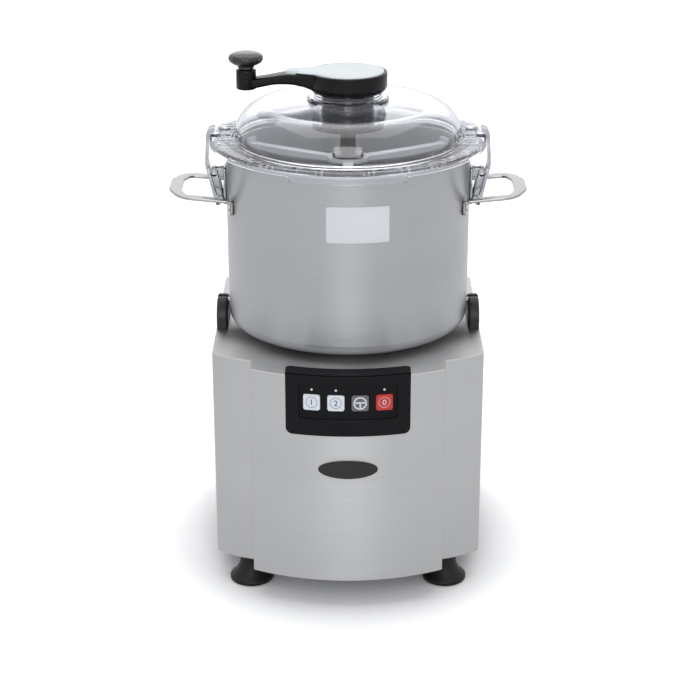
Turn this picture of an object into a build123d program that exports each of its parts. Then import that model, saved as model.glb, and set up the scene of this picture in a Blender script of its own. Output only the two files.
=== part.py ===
"""Bowl cutter for meat: a steel base with a vertical motor, a lift-off bowl and a clear latched lid.

Millimetres. The origin is on the ground under the bowl's axis; +X is the machine's right, -Y its front,
    +Z up.
"""
import os
from math import asin, cos, degrees, hypot, pi, radians, sin, sqrt

from build123d import *

# ---------------------------------------------------------------- fits and gaps
FIT = 0.05  # radial gap of a pin, shaft or rivet in its hole
PART_GAP = 0.4  # gap between pieces that move past each other
HAIR = 0.1  # gap under a curved skin that is glued or clipped on
OVERRUN = 1.0  # how far a cut runs past a face, or a joined shape runs into its neighbour

# ---------------------------------------------------------------- bowl
BOWL_R = 140.0
BOWL_WALL = 1.5
BOWL_HEIGHT = 212.5
BOWL_CORNER_R = 14.5
RIM_OVERHANG = 12.0
RIM_THICK = 1.6
SEAT_R = 62.0
SEAT_WIDTH = 10.0
SEAT_HEIGHT = 7.9
TUBE_R = 13.0
TUBE_WALL = 2.0
TUBE_FLANGE = 5.0
TUBE_FLANGE_THICK = 1.2
STUD_R = 3.2
STUD_RISE = 19.0
STUD_LENGTH = 13.0
STUD_HEAD = 1.9
STUD_HEAD_LIP = 2.0
STUD_HEAD_GAP = 0.6

# posts that hold the bowl's studs
POST_CLEARANCE = 0.8
POST_DEPTH = 13.2
POST_EDGE = 0.7
POST_HALF = 28.0
POST_OVER_STUD = 5.3
POST_TOP_R = 24.0
POST_OUTER_R = 2.4
POST_INNER_R = 4.0
POST_SCREW_INSET = 6.0
POST_SCREW_DEPTH = 9.4

# ---------------------------------------------------------------- base
BASE_BOTTOM = 33.4
BASE_HEIGHT = 251.2
BASE_HALF_WIDTH = BOWL_R + POST_CLEARANCE + POST_DEPTH + POST_EDGE
BASE_BACK = 166.0
BULGE_RADIUS = 232.0
BULGE_REACH = 178.7
BULGE_HALF = 109.2
WING_STEP = 25.0
WING_SETBACK = 23.0
WING_BOW = 2.7
WING_CORNER_R = 9.0
BACK_CORNER_R = 14.0
BULGE_EDGE_R = 3.0
WING_ROOT_R = 3.0
SHEET = 2.0
TOP_EDGE_R = 1.2
REAR_WINDOW_MARGIN = 22.0
REAR_LAP = 9.0
REAR_SHEET = 1.5
REAR_CORNER_R = 4.0
VENT_ROWS = 9
VENT_COLUMNS = 2
VENT_LENGTH = 78.0
VENT_WIDTH = 5.0
VENT_PITCH = 13.0
VENT_GUTTER = 14.0
VENT_RISE = 53.6
FLOOR_VENTS = 5
SCREW_R = 2.0
SCREW_HEAD_R = 4.0
SCREW_HEAD = 2.2
SCREW_GRIP = 3.0

# feet
FOOT_INSET = 4.8
FOOT_SETBACK = 18.7
BACK_FOOT_SETBACK = 58.3
FOOT_R = 25.6
FOOT_NECK_R = 13.5
FOOT_RIM = 5.0
FOOT_EDGE = 1.5
FOOT_BOLT_R = 4.0
FOOT_BOLT_HEAD_R = 7.0
FOOT_BOLT_HEAD = 5.0
FOOT_BOLT_DEPTH = 20.0

# control panel, measured down from the base's top
BUTTON_SIZE = 18.6
BUTTON_PITCH = 26.6
BUTTON_DROP = 29.0
BUTTON_PROUD = 2.4
BUTTON_TRAVEL = 0.8
BUTTON_CORNER_R = 2.4
BUTTON_EDGE = 0.6
BUTTON_FLANGE = 1.2
BUTTON_FLANGE_LIP = 1.2
KEYPAD_MARGIN = 5.4
KEYPAD_TOP_DROP = 8.6
KEYPAD_HEIGHT = 40.5
KEYPAD_CORNER_R = 3.0
KEYPAD_THICK = 1.3
BEZEL_MARGIN = 14.9
BEZEL_DROP = 69.1
BEZEL_THICK = 3.0
BEZEL_FOLD = 23.5
BEZEL_CORNER_R = 7.0
LENS_R = 1.3
LENS_DROP = 14.0
LENS_PROUD = 0.5
LENS_DEPTH = 2.5
BOARD_THICK = 1.6
BOARD_SETBACK = 14.0
BOARD_MARGIN = 18.0
BOARD_HALF_HEIGHT = 20.0
BOARD_PILLAR_R = 3.0
BOARD_PILLAR_INSET = 4.0
SWITCH_R = 2.5
SWITCH_GAP = 1.4
BADGE_HALF_WIDTH = 33.5
BADGE_HALF_HEIGHT = 11.0
BADGE_THICK = 1.8
BADGE_DROP = 110.6

# ---------------------------------------------------------------- drive
SHAFT_R = 12.0
SPINDLE_R = 9.0
SPINDLE_FLAT = 6.5
SPINDLE_KEY = 9.0
ROTOR_R = 45.0
AIR_GAP = 1.0
STATOR_R = 72.0
STATOR_TOP_DROP = 46.6
BELL_WALL = 5.0
BELL_SKIRT = 26.0
BELL_FACE = 12.0
BEARING_R = 26.0
BEARING_HEIGHT = 15.0
FAN_R = 60.0
FAN_CLEARANCE = 14.6
FAN_HEIGHT = 14.0
FAN_HUB_R = 20.0
FAN_BLADES = 8
FAN_BLADE_THICK = 2.0
FAN_GAP = 10.0
SHAFT_TAIL = 6.0
MOTOR_SCREW_R = 3.0
MOTOR_SCREW_HEAD_R = 5.5
MOTOR_SCREW_HEAD = 3.5
MOTOR_SCREW_GRIP = 11.0
SCREW_SEAT_GAP = 1.5
SEAL_R = 20.0
SEAL_LIP = 2.0
SEAL_PROUD = 6.5
CAPACITOR_R = 22.0
CAPACITOR_HEIGHT = 72.0
CAPACITOR_MARGIN = 18.7
CAPACITOR_Y = 62.0
GLAND_X = 96.0
GLAND_RISE = 38.6
GLAND_BORE_R = 4.5
GLAND_R = 9.5
GLAND_HEX_R = 13.0
GLAND_NUT = 6.0
GLAND_OUT = 14.2
GLAND_TAIL = 4.0
GLAND_EDGE = 2.5

# ---------------------------------------------------------------- handles and label
HANDLE_DROP = 56.0
HANDLE_THICK = 3.5
HANDLE_REACH = 65.0
HANDLE_HALF_TIP = 50.5
HANDLE_HALF_ROOT = 55.0
HANDLE_ARM = 12.0
HANDLE_GRIP = 14.5
HANDLE_FLAT_HALF = 20.0
HANDLE_SHOULDER = 14.0
HANDLE_CORNER_R = 24.0
HANDLE_HOLE_SHOULDER = 6.5
HANDLE_HOLE_R = 4.0
HANDLE_TILT = 5.0
TAB_DROP = 18.0
TAB_THICK = 3.0
TAB_WIDTH = 11.0
RIVET_R = 2.0
RIVET_HEAD_R = 3.4
RIVET_HEAD = 1.2
RIVET_PITCH = 7.0
TAB_RIVET_RISE = 3.5
BRACKET_RIVET_RISE = 5.0
BRACKET_RIVET_PITCH = 15.0
LABEL_WIDTH = 69.0
LABEL_HEIGHT = 41.0
LABEL_THICK = 0.4
LABEL_CORNER_R = 2.0
LABEL_X = 11.0
LABEL_DROP = 57.0

# ---------------------------------------------------------------- lid
GASKET_THICK = 2.0
GASKET_WIDTH = 9.0
FLANGE_OVERHANG = 5.8
FLANGE_THICK = 4.8
FLANGE_EDGE = 1.2
SKIRT_WALL = 3.0
SKIRT_DROP = 3.4
LIP_DROP = 6.0
LIP_HALF_ANGLE = 25.0
SPIGOT_GAP = 1.5
SPIGOT_WALL = 3.0
SPIGOT_DROP = 9.0
DOME_SHELF = 7.5
DOME_WALL = 3.0
DOME_SHOULDER_R = 38.0
DOME_CROWN_R = 1500.0
DOME_RISE = 41.7
DOME_FILLET = 4.0
SLEEVE_R = 30.0
SLEEVE_BORE_R = 9.0
NECK_TUBE_WALL = 5.6
NECK_STEP = 3.0
NECK_RISE = 9.5
NECK_DEPTH = 21.5
COLLAR_WIDTH = 7.6
COLLAR_HEIGHT = 4.0

# ---------------------------------------------------------------- crank and scraper
CAP_OVERHANG = 5.6
CAP_HEIGHT = 22.6
CAP_EDGE_R = 1.5
CAP_ROUND = 8.0
CAP_FLOOR = 6.0
CRANK_REACH = 115.0
BOSS_R = 11.4
BOSS_HEIGHT = 22.6
BOSS_PROUD = 2.0
ARM_ROOT_INSET = 12.0
ARM_HALF_BEAM = 22.0
ARM_HALF_ROOT = 24.0
ARM_HALF_WAIST = 12.5
ARM_HALF_TIP = 8.5
ARM_WAIST_RUN = 49.0
ARM_BEND_RUN = 31.0
ARM_TOE_RUN = 15.0
RETAINER_WIDTH = 9.6
RETAINER_HEIGHT = 7.5
INSERT_MARGIN = 3.6
INSERT_TAIL_RUN = 45.0
INSERT_TAIL_HALF = 7.0
INSERT_DEPTH = 4.0
INSERT_PROUD = 0.8
INSERT_EDGE = 0.6
KNOB_R = 20.0
KNOB_NECK_R = 8.6
KNOB_HEIGHT = 19.2
KNOB_NECK = 4.4
KNOB_CROWN = 7.0
KNOB_PIN_R = 4.0
KNOB_PIN_DEPTH = 14.0
KNOB_PIN_CAP = 6.0
SCRAPER_HUB_R = 18.0
SCRAPER_HUB_HEIGHT = 24.0
SCRAPER_HUB_DROP = 13.0
SCRAPER_STEM_GAP = 0.5
SCRAPER_RING = 6.0
SCRAPER_ARM_HALF = 6.0
SCRAPER_ARM_RISE = 7.0
SCRAPER_ARM_HEIGHT = 10.0
SCRAPER_GAP = 3.0
SCRAPER_WIPER_DROP = 14.0
SCRAPER_WIPER_LENGTH = 91.0
SCRAPER_WIPER_HALF = 8.0
SCRAPER_WIPER_THICK = 4.0
SCRAPER_ANGLES = (270.0, 30.0, 150.0)

# ---------------------------------------------------------------- blades
HUB_R = 18.0
HUB_RISE = 3.0
HUB_HEIGHT = 103.0
HUB_WALL_GAP = 0.5
HUB_FLANGE_R = 25.0
HUB_FLANGE = 2.5
HUB_LID = 5.0
BLADE_THICK = 3.0
BLADE_GAP = 7.5
BLADE_WIDTH = 34.0
BLADE_BOW = 8.0
BLADE_BEVEL = 6.0
UPPER_BLADE_RISE = 48.0
BLADE_KNOB_R = 23.0
BLADE_KNOB_SKIRT = 6.0
BLADE_KNOB_SHOULDER_R = 4.0
BLADE_KNOB_GRIP = 40.0
BLADE_KNOB_TOP_R = 5.0

# ---------------------------------------------------------------- latches, beside the bowl's wall and lid
LATCH_PIN_R = 1.8
LATCH_EYE_R = 3.3
LATCH_BOSS_EYE_R = 4.4
LATCH_A_OUT = 13.5
LATCH_A_DROP = 36.0
LATCH_B_OUT = 6.4
LATCH_B_DROP = 65.5
PIN_OVERHANG = 0.2
PIN_HEAD = 1.0
BRACKET_HALF = 13.0
BRACKET_THICK = 2.5
BRACKET_DROP = 29.0
BRACKET_HEIGHT = 44.0
EAR_IN = 4.0
EAR_THICK = 3.0
EAR_DROP = 9.0
LAYER_GAP = 0.4
CHEEK_THICK = 2.4
LEVER_HALF = 4.2
LEVER_TAIL_OUT = 3.4
LEVER_TAIL_DROP = 6.5
LUG_THICK = 2.6
LUG_HALF = 2.6
LUG_TOE_OUT = 7.6
LUG_TOE_RISE = 4.5
STRAP_THICK = 2.8
STRAP_DROP = 30.0
STRAP_FOOT_GAP = 1.7
STRAP_KNEE_GAP = 2.7
STRAP_KNEE = 5.5
STRAP_HEAD_GAP = 1.0
STRAP_NECK = 16.0
STRAP_NECK_RUN = 10.0
HOOK_HALF = 9.5
HOOK_RISE = 9.7
HOOK_SLOPE = 7.0
HOOK_BEVEL = 2.2
CAM_INSET = 0.6
CAM_RUN = 5.0
CAM_RISE = 6.4
CLIP_BOSS_DEPTH = 12.8
CLIP_BOSS_HALF = 10.5
CLIP_RIB_PLACES = (24.0, 32.0, 40.0, 48.0)
CLIP_RIB_THICK = 2.4
CLIP_RIB_HEIGHT = 3.4
CLIP_RIB_REACH = 147.5

# ---------------------------------------------------------------- derived places
BASE_TOP = BASE_BOTTOM + BASE_HEIGHT
BULGE_CENTRE_Y = BULGE_RADIUS - BULGE_REACH
BULGE_EDGE_Y = BULGE_CENTRE_Y - sqrt(BULGE_RADIUS**2 - BULGE_HALF**2)
WING_Y = BULGE_EDGE_Y + WING_STEP
TOP_PLATE_LOW = BASE_TOP - SHEET
FLOOR_TOP = BASE_BOTTOM + SHEET
REAR_FACE = BASE_BACK + REAR_SHEET
FOOT_X = BULGE_HALF + FOOT_INSET
FRONT_FOOT_Y = WING_Y + FOOT_SETBACK
BACK_FOOT_Y = BASE_BACK - BACK_FOOT_SETBACK
BUTTON_Z = BASE_TOP - BUTTON_DROP
LENS_Z = BASE_TOP - LENS_DROP
KEYPAD_HALF = 1.5 * BUTTON_PITCH + BUTTON_SIZE / 2 + KEYPAD_MARGIN
KEYPAD_HIGH = BASE_TOP - KEYPAD_TOP_DROP
KEYPAD_LOW = KEYPAD_HIGH - KEYPAD_HEIGHT
BEZEL_HALF = KEYPAD_HALF + BEZEL_MARGIN
BEZEL_LOW = BASE_TOP - BEZEL_DROP
BADGE_Z = BASE_TOP - BADGE_DROP
FAN_LOW = FLOOR_TOP + FAN_CLEARANCE
LOWER_BELL = FAN_LOW + FAN_HEIGHT + FAN_GAP
STATOR_LOW = LOWER_BELL + BELL_SKIRT
STATOR_HIGH = TOP_PLATE_LOW - STATOR_TOP_DROP
STATOR_BORE_R = ROTOR_R + AIR_GAP
MOTOR_SCREW_CIRCLE_R = SEAT_R - MOTOR_SCREW_HEAD_R - SCREW_SEAT_GAP
CAPACITOR_X = SHEET + CAPACITOR_MARGIN + CAPACITOR_R - BASE_HALF_WIDTH
GLAND_Z = BASE_BOTTOM + GLAND_RISE
SPINDLE_LOW = BASE_TOP + SEAL_PROUD + OVERRUN
BOWL_BOTTOM = BASE_TOP + SEAT_HEIGHT
BOWL_TOP = BOWL_BOTTOM + BOWL_HEIGHT
BOWL_INNER_R = BOWL_R - BOWL_WALL
BOWL_FLOOR = BOWL_BOTTOM + BOWL_WALL
WALL_SEAT_R = BOWL_R + HAIR
RIM_R = BOWL_R + RIM_OVERHANG
STUD_Z = BOWL_BOTTOM + STUD_RISE
POST_IN = BOWL_R + POST_CLEARANCE
POST_OUT = POST_IN + POST_DEPTH
POST_TOP = STUD_Z + POST_OVER_STUD
POST_SCREW_TOP = BASE_TOP + POST_SCREW_DEPTH
TUBE_INNER_R = TUBE_R - TUBE_WALL
HUB_BORE_R = TUBE_R + HUB_WALL_GAP
HUB_LOW = BOWL_FLOOR + HUB_RISE
HUB_HIGH = HUB_LOW + HUB_HEIGHT
SPINDLE_TOP = HUB_HIGH - HUB_LID
TUBE_TOP = SPINDLE_TOP - SPINDLE_KEY
BLADE_R = BOWL_INNER_R - BLADE_GAP
UPPER_BLADE_Z = HUB_LOW + UPPER_BLADE_RISE
BLADE_KNOB_TOP = HUB_HIGH + BLADE_KNOB_GRIP
HANDLE_TOP = BOWL_TOP - HANDLE_DROP
HANDLE_LOW = HANDLE_TOP - HANDLE_THICK
HANDLE_TIP_X = BOWL_R + HANDLE_REACH
LABEL_Z = BOWL_TOP - LABEL_DROP
FLANGE_LOW = BOWL_TOP + GASKET_THICK
FLANGE_TOP = FLANGE_LOW + FLANGE_THICK
FLANGE_R = RIM_R + FLANGE_OVERHANG
SKIRT_LOW = FLANGE_LOW - SKIRT_DROP
SKIRT_INNER_R = FLANGE_R - SKIRT_WALL
SPIGOT_R = BOWL_INNER_R - SPIGOT_GAP
DOME_R = SPIGOT_R - DOME_SHELF
DOME_TOP = FLANGE_TOP + DOME_RISE
NECK_BORE_R = SLEEVE_R + PART_GAP
NECK_INNER_R = NECK_BORE_R + NECK_TUBE_WALL
NECK_R = NECK_INNER_R + NECK_STEP
NECK_TOP = DOME_TOP + NECK_RISE
NECK_LOW = DOME_TOP - NECK_DEPTH
COLLAR_R = NECK_R + COLLAR_WIDTH
CAP_R = NECK_R + CAP_OVERHANG
CAP_LOW = NECK_TOP + PART_GAP
CAP_TOP = CAP_LOW + CAP_HEIGHT
BOSS_TOP = CAP_TOP + BOSS_PROUD
BOSS_LOW = BOSS_TOP - BOSS_HEIGHT
INSERT_R = CAP_R - INSERT_MARGIN
INSERT_TAIL = CRANK_REACH - INSERT_TAIL_RUN
RETAINER_R = NECK_BORE_R + RETAINER_WIDTH
RETAINER_TOP = NECK_LOW - PART_GAP
SCRAPER_HUB_HIGH = BOWL_TOP - SCRAPER_HUB_DROP
SCRAPER_HUB_LOW = SCRAPER_HUB_HIGH - SCRAPER_HUB_HEIGHT
SCRAPER_ARM_LOW = SCRAPER_HUB_LOW + SCRAPER_ARM_RISE
SCRAPER_ARM_HIGH = SCRAPER_ARM_LOW + SCRAPER_ARM_HEIGHT
SCRAPER_REACH = BOWL_INNER_R - SCRAPER_GAP
SCRAPER_WIPER_HIGH = BOWL_TOP - SCRAPER_WIPER_DROP
SCRAPER_WIPER_LOW = SCRAPER_WIPER_HIGH - SCRAPER_WIPER_LENGTH
KNOB_LOW = BOSS_TOP + PART_GAP
LATCH_A = (BOWL_R + LATCH_A_OUT, BOWL_TOP - LATCH_A_DROP)
LATCH_B = (BOWL_R + LATCH_B_OUT, BOWL_TOP - LATCH_B_DROP)
BRACKET_HIGH = BOWL_TOP - BRACKET_DROP
BRACKET_LOW = BRACKET_HIGH - BRACKET_HEIGHT
CHEEK_IN = EAR_IN + EAR_THICK + LAYER_GAP
CHEEK_OUT = CHEEK_IN + CHEEK_THICK
LUG_OUT = BRACKET_HALF
LUG_IN = LUG_OUT - LUG_THICK
STRAP_LOW = BOWL_TOP - STRAP_DROP
STRAP_FOOT_R = FLANGE_R + STRAP_FOOT_GAP
STRAP_KNEE_R = FLANGE_R + STRAP_KNEE_GAP
STRAP_HEAD_R = FLANGE_R + STRAP_HEAD_GAP
HOOK_TOP = FLANGE_TOP + HOOK_RISE
CAM_LOW = (FLANGE_R - CAM_INSET, FLANGE_TOP)
CAM_HIGH = (CAM_LOW[0] - CAM_RUN, CAM_LOW[1] + CAM_RISE)
CLIP_BOSS_IN = FLANGE_R - CLIP_BOSS_DEPTH


# ---------------------------------------------------------------- helpers
def save(name, *solids):
    """Write one named piece, or a group of like pieces, to parts/."""
    shape = solids[0] if len(solids) == 1 else Compound(children=list(solids))
    export_step(shape, f"parts/{name}.step")


def rod(radius, low, high, x=0.0, y=0.0):
    """A round bar from one height to another."""
    return Pos(x, y, low) * Cylinder(radius, high - low, align=(Align.CENTER, Align.CENTER, Align.MIN))


def ring(inner, outer, low, high, x=0.0, y=0.0):
    """A round bar with a hole through it."""
    return rod(outer, low, high, x, y) - rod(inner, low - OVERRUN, high + OVERRUN, x, y)


def block(low, high):
    """A box between two corners."""
    size = [b - a for a, b in zip(low, high)]
    return Pos(*low) * Box(*size, align=(Align.MIN, Align.MIN, Align.MIN))


def bar_x(radius, x0, x1, y, z):
    """A round bar along X."""
    return Pos(x0, y, z) * Rot(0, 90, 0) * rod(radius, 0, x1 - x0)


def bar_y(radius, y0, y1, x, z):
    """A round bar along Y."""
    return Pos(x, y0, z) * Rot(-90, 0, 0) * rod(radius, 0, y1 - y0)


def turned(*points):
    """A solid of revolution about Z from (radius, height) corners."""
    wire = Polyline(*[(r, 0, z) for r, z in points], close=True)
    return revolve(make_face(wire), Axis.Z)


def slab(points, low, high):
    """A plan outline with straight sides, between two heights."""
    face = make_face(Polyline(*[(x, y, low) for x, y in points], close=True))
    return extrude(face, high - low, dir=(0, 0, 1))


def plate_xz(points, y0, y1):
    """An (x, z) outline carried along Y."""
    face = make_face(Polyline(*[(x, y0, z) for x, z in points], close=True))
    return extrude(face, y1 - y0, dir=(0, 1, 0))


def plate_yz(points, x0, x1):
    """A (y, z) outline carried along X."""
    face = make_face(Polyline(*[(x0, y, z) for y, z in points], close=True))
    return extrude(face, x1 - x0, dir=(1, 0, 0))


def both_cheeks(points, inner, outer):
    """The same (x, z) outline on each side of the X axis."""
    return plate_xz(points, inner, outer) + plate_xz(points, -outer, -inner)


def mirrored(solid):
    """The left-hand copy of a right-hand piece."""
    return mirror(solid, Plane.YZ)


def round_box(half_x, half_z, y0, y1, radius, x=0.0, z=0.0):
    """A panel that faces the front, with rounded corners."""
    outline = RectangleRounded(2 * half_x, 2 * half_z, radius)
    return extrude(Plane((x, y0, z), x_dir=(1, 0, 0), z_dir=(0, 1, 0)) * outline, y1 - y0)


def front_shell(inner, outer, low, high):
    """A curved wall that follows the bulged front, measured outward from its surface."""
    wall = ring(BULGE_RADIUS + inner, BULGE_RADIUS + outer, low, high, 0, BULGE_CENTRE_Y)
    return wall & block((-BULGE_HALF, -2 * BULGE_RADIUS, low), (BULGE_HALF, 0, high))


def on_front(solid, x):
    """Carry a piece made at the middle of the bulged front round to a place x across."""
    turn = degrees(asin(x / BULGE_RADIUS))
    return Pos(0, BULGE_CENTRE_Y, 0) * Rot(0, 0, turn) * Pos(0, -BULGE_CENTRE_Y, 0) * solid


def eye(centre, radius, y0, y1):
    """A round end or a hole across a latch piece."""
    return bar_y(radius, y0, y1, centre[0], centre[1])


# ---------------------------------------------------------------- base
def base_face():
    """The base's plan outline: a bulged middle, stepped wings and a straight back."""
    side_y = WING_Y + WING_SETBACK
    width = BASE_HALF_WIDTH - BULGE_HALF
    chord = hypot(width, WING_SETBACK)
    mid_x = BULGE_HALF + width / 2 + WING_BOW * WING_SETBACK / chord
    mid_y = (WING_Y + side_y) / 2 - WING_BOW * width / chord
    right = [(BULGE_HALF, BULGE_EDGE_Y), (BULGE_HALF, WING_Y), (mid_x, mid_y), (BASE_HALF_WIDTH, side_y)]
    left = [(-x, y) for x, y in right]
    lines = [
        ThreePointArc(left[0], (0, -BULGE_REACH), right[0]),
        Line(right[0], right[1]),
        ThreePointArc(right[1], right[2], right[3]),
        Line(right[3], (BASE_HALF_WIDTH, BASE_BACK)),
        Line((BASE_HALF_WIDTH, BASE_BACK), (-BASE_HALF_WIDTH, BASE_BACK)),
        Line((-BASE_HALF_WIDTH, BASE_BACK), left[3]),
        ThreePointArc(left[3], left[2], left[1]),
        Line(left[1], left[0]),
    ]
    face = make_face(lines)
    wings = [v for v in face.vertices() if abs(v.Y - side_y) < 0.01]
    face = fillet(wings, WING_CORNER_R)
    backs = [v for v in face.vertices() if abs(v.Y - BASE_BACK) < 0.01 and abs(v.X) > BASE_HALF_WIDTH - 0.1]
    face = fillet(backs, BACK_CORNER_R)
    edges = [v for v in face.vertices() if abs(v.Y - BULGE_EDGE_Y) < 0.01]
    face = fillet(edges, BULGE_EDGE_R)
    roots = [v for v in face.vertices() if abs(v.Y - WING_Y) < 0.01]
    return fillet(roots, WING_ROOT_R)


def foot_places():
    """The centres of the four feet."""
    return [(sx * FOOT_X, y) for sx in (-1, 1) for y in (FRONT_FOOT_Y, BACK_FOOT_Y)]


def rear_window():
    """Half width, low and high edge of the opening that the rear panel covers."""
    half = BASE_HALF_WIDTH - REAR_WINDOW_MARGIN
    return half, BASE_BOTTOM + REAR_WINDOW_MARGIN, TOP_PLATE_LOW - REAR_WINDOW_MARGIN


def rear_screw_places():
    """Screws that hold the rear panel, as (x, z)."""
    half, low, high = rear_window()
    half += REAR_LAP / 2
    low -= REAR_LAP / 2
    high += REAR_LAP / 2
    return [(x, z) for x in (-half, half) for z in (low, (low + high) / 2, high)]


def screw_y(x, z):
    """A pan head screw that is driven from the back."""
    head = bar_y(SCREW_HEAD_R, REAR_FACE, REAR_FACE + SCREW_HEAD, x, z)
    return head + bar_y(SCREW_R, BASE_BACK - SHEET - SCREW_GRIP, REAR_FACE, x, z)


def screw_holes_y():
    """Holes for the rear panel's screws."""
    holes = [bar_y(SCREW_R + FIT, BASE_BACK - SHEET - OVERRUN, REAR_FACE + OVERRUN, x, z) for x,
        z in rear_screw_places()]
    return Compound(children=holes)


def make_housing():
    face = base_face()
    inner = offset(face, amount=-SHEET, kind=Kind.INTERSECTION)
    height = TOP_PLATE_LOW - BASE_BOTTOM
    shell = Pos(0, 0, BASE_BOTTOM) * (extrude(face, height) - extrude(inner, height))
    half, low, high = rear_window()
    shell -= block((-half, BASE_BACK - 4 * SHEET, low), (half, BASE_BACK + OVERRUN, high))
    window = BUTTON_SIZE / 2 + BUTTON_FLANGE_LIP + 1.5
    reach = 1.5 * BUTTON_PITCH + window + 2
    shell -= block((-reach, -2 * BULGE_REACH, BUTTON_Z - window), (reach, OVERRUN - BULGE_REACH / 2,
        BUTTON_Z + window))
    for x in lens_places():
        shell -= on_front(bar_y(LENS_R + 0.6, -BULGE_REACH - 9, -BULGE_REACH + 9, 0, LENS_Z), x)
    for child in screw_holes_y().children:
        shell -= child
    save("housing_shell", shell)


def make_top_plate():
    plate = Pos(0, 0, TOP_PLATE_LOW) * extrude(base_face(), SHEET)
    plate = fillet(plate.edges().group_by(Axis.Z)[-1], TOP_EDGE_R)
    plate -= rod(SEAL_R - SEAL_LIP, TOP_PLATE_LOW - OVERRUN, BASE_TOP + OVERRUN)
    for x, y in motor_screw_places():
        plate -= rod(MOTOR_SCREW_R + FIT, TOP_PLATE_LOW - OVERRUN, BASE_TOP + OVERRUN, x, y)
    for x, y in post_screw_places():
        plate -= rod(SCREW_R + FIT, TOP_PLATE_LOW - OVERRUN, BASE_TOP + OVERRUN, x, y)
    save("top_plate", plate)


def make_bottom_plate():
    face = offset(base_face(), amount=-SHEET - HAIR, kind=Kind.INTERSECTION)
    plate = Pos(0, 0, BASE_BOTTOM) * extrude(face, SHEET)
    for x, y in foot_places():
        plate -= rod(FOOT_BOLT_R + FIT, BASE_BOTTOM - OVERRUN, FLOOR_TOP + OVERRUN, x, y)
    for i in range(FLOOR_VENTS):
        y = (i - (FLOOR_VENTS - 1) / 2) * VENT_PITCH
        plate -= block((-FAN_R / 2, y - VENT_WIDTH / 2, BASE_BOTTOM - OVERRUN), (FAN_R / 2,
            y + VENT_WIDTH / 2, FLOOR_TOP + OVERRUN))
    save("bottom_plate", plate)


def make_rear_panel():
    half, low, high = rear_window()
    half += REAR_LAP
    panel = round_box(half, (high - low) / 2 + REAR_LAP, BASE_BACK, REAR_FACE, REAR_CORNER_R, 0,
        (low + high) / 2)
    for row in range(VENT_ROWS):
        for column in range(VENT_COLUMNS):
            x = (column - (VENT_COLUMNS - 1) / 2) * (VENT_LENGTH + VENT_GUTTER)
            z = low + VENT_RISE + row * VENT_PITCH
            panel -= round_box(VENT_LENGTH / 2, VENT_WIDTH / 2, BASE_BACK - OVERRUN, REAR_FACE + OVERRUN,
                VENT_WIDTH * 0.48, x, z)
    for child in screw_holes_y().children:
        panel -= child
    panel -= bar_y(GLAND_R + FIT, BASE_BACK - OVERRUN, REAR_FACE + OVERRUN, GLAND_X, GLAND_Z)
    save("rear_panel", panel)


def make_feet():
    shaft_low = BASE_BOTTOM - FOOT_BOLT_DEPTH
    feet = []
    bolts = []
    for x, y in foot_places():
        foot = turned(
            (0, 0), (FOOT_R - FOOT_EDGE, 0), (FOOT_R, FOOT_EDGE), (FOOT_R, FOOT_RIM), (FOOT_R - 3,
                FOOT_RIM + 3.2),
            (FOOT_NECK_R + 3.2, FOOT_RIM + 9.5), (FOOT_NECK_R + 0.8, FOOT_RIM + 15), (FOOT_NECK_R,
                BASE_BOTTOM - 5),
            (FOOT_NECK_R, BASE_BOTTOM), (0, BASE_BOTTOM),
        )
        foot -= rod(FOOT_BOLT_R + FIT, shaft_low, BASE_BOTTOM + OVERRUN)
        feet.append(Pos(x, y, 0) * foot)
        head = extrude(Pos(x, y, FLOOR_TOP) * RegularPolygon(FOOT_BOLT_HEAD_R, 6), FOOT_BOLT_HEAD)
        bolts.append(head + rod(FOOT_BOLT_R, shaft_low, FLOOR_TOP, x, y))
    save("rubber_feet", *feet)
    save("foot_bolts", *bolts)


# ---------------------------------------------------------------- control panel
def button_places():
    return [(i - 1.5) * BUTTON_PITCH for i in range(4)]


def lens_places():
    """Indicator lamps stand over the first, second and last button."""
    xs = button_places()
    return [xs[0], xs[1], xs[3]]


def make_bezel():
    top = BASE_TOP + BEZEL_THICK - HAIR
    mid_z = (BEZEL_LOW + top) / 2
    front = front_shell(HAIR, BEZEL_THICK, BEZEL_LOW, top)
    outline = round_box(BEZEL_HALF, (top - BEZEL_LOW) / 2 + 20, -2 * BULGE_RADIUS, 0, BEZEL_CORNER_R, 0,
        mid_z + 20)
    front &= outline
    reach = BULGE_RADIUS + BEZEL_THICK
    fold = ring(reach - BEZEL_FOLD, reach, BASE_TOP, top, 0, BULGE_CENTRE_Y)
    fold &= block((-BEZEL_HALF, -2 * BULGE_RADIUS, BASE_TOP), (BEZEL_HALF, 0, top))
    backs = fold.edges().filter_by(Axis.Z).sort_by(Axis.Y)[-2:]
    bezel = front + fillet(backs, BEZEL_CORNER_R)
    keypad_z = (KEYPAD_LOW + KEYPAD_HIGH) / 2
    half_z = (KEYPAD_HIGH - KEYPAD_LOW) / 2
    bezel -= round_box(KEYPAD_HALF, half_z, -2 * BULGE_RADIUS, -BULGE_REACH / 2, KEYPAD_CORNER_R, 0,
        keypad_z)
    rims = [e for e in bezel.edges() if is_bezel_rim(e, top)]
    save("control_bezel", fillet(rims, BEZEL_THICK * 0.45))
    make_keypad(keypad_z, half_z)


def is_bezel_rim(edge, top):
    """The outer edge where the bezel's front turns over onto the top."""
    middle = edge.position_at(0.5)
    reach = hypot(middle.X, middle.Y - BULGE_CENTRE_Y)
    return abs(middle.Z - top) < 0.01 and abs(reach - BULGE_RADIUS - BEZEL_THICK) < 0.01 and abs(middle.X) < 5


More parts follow.
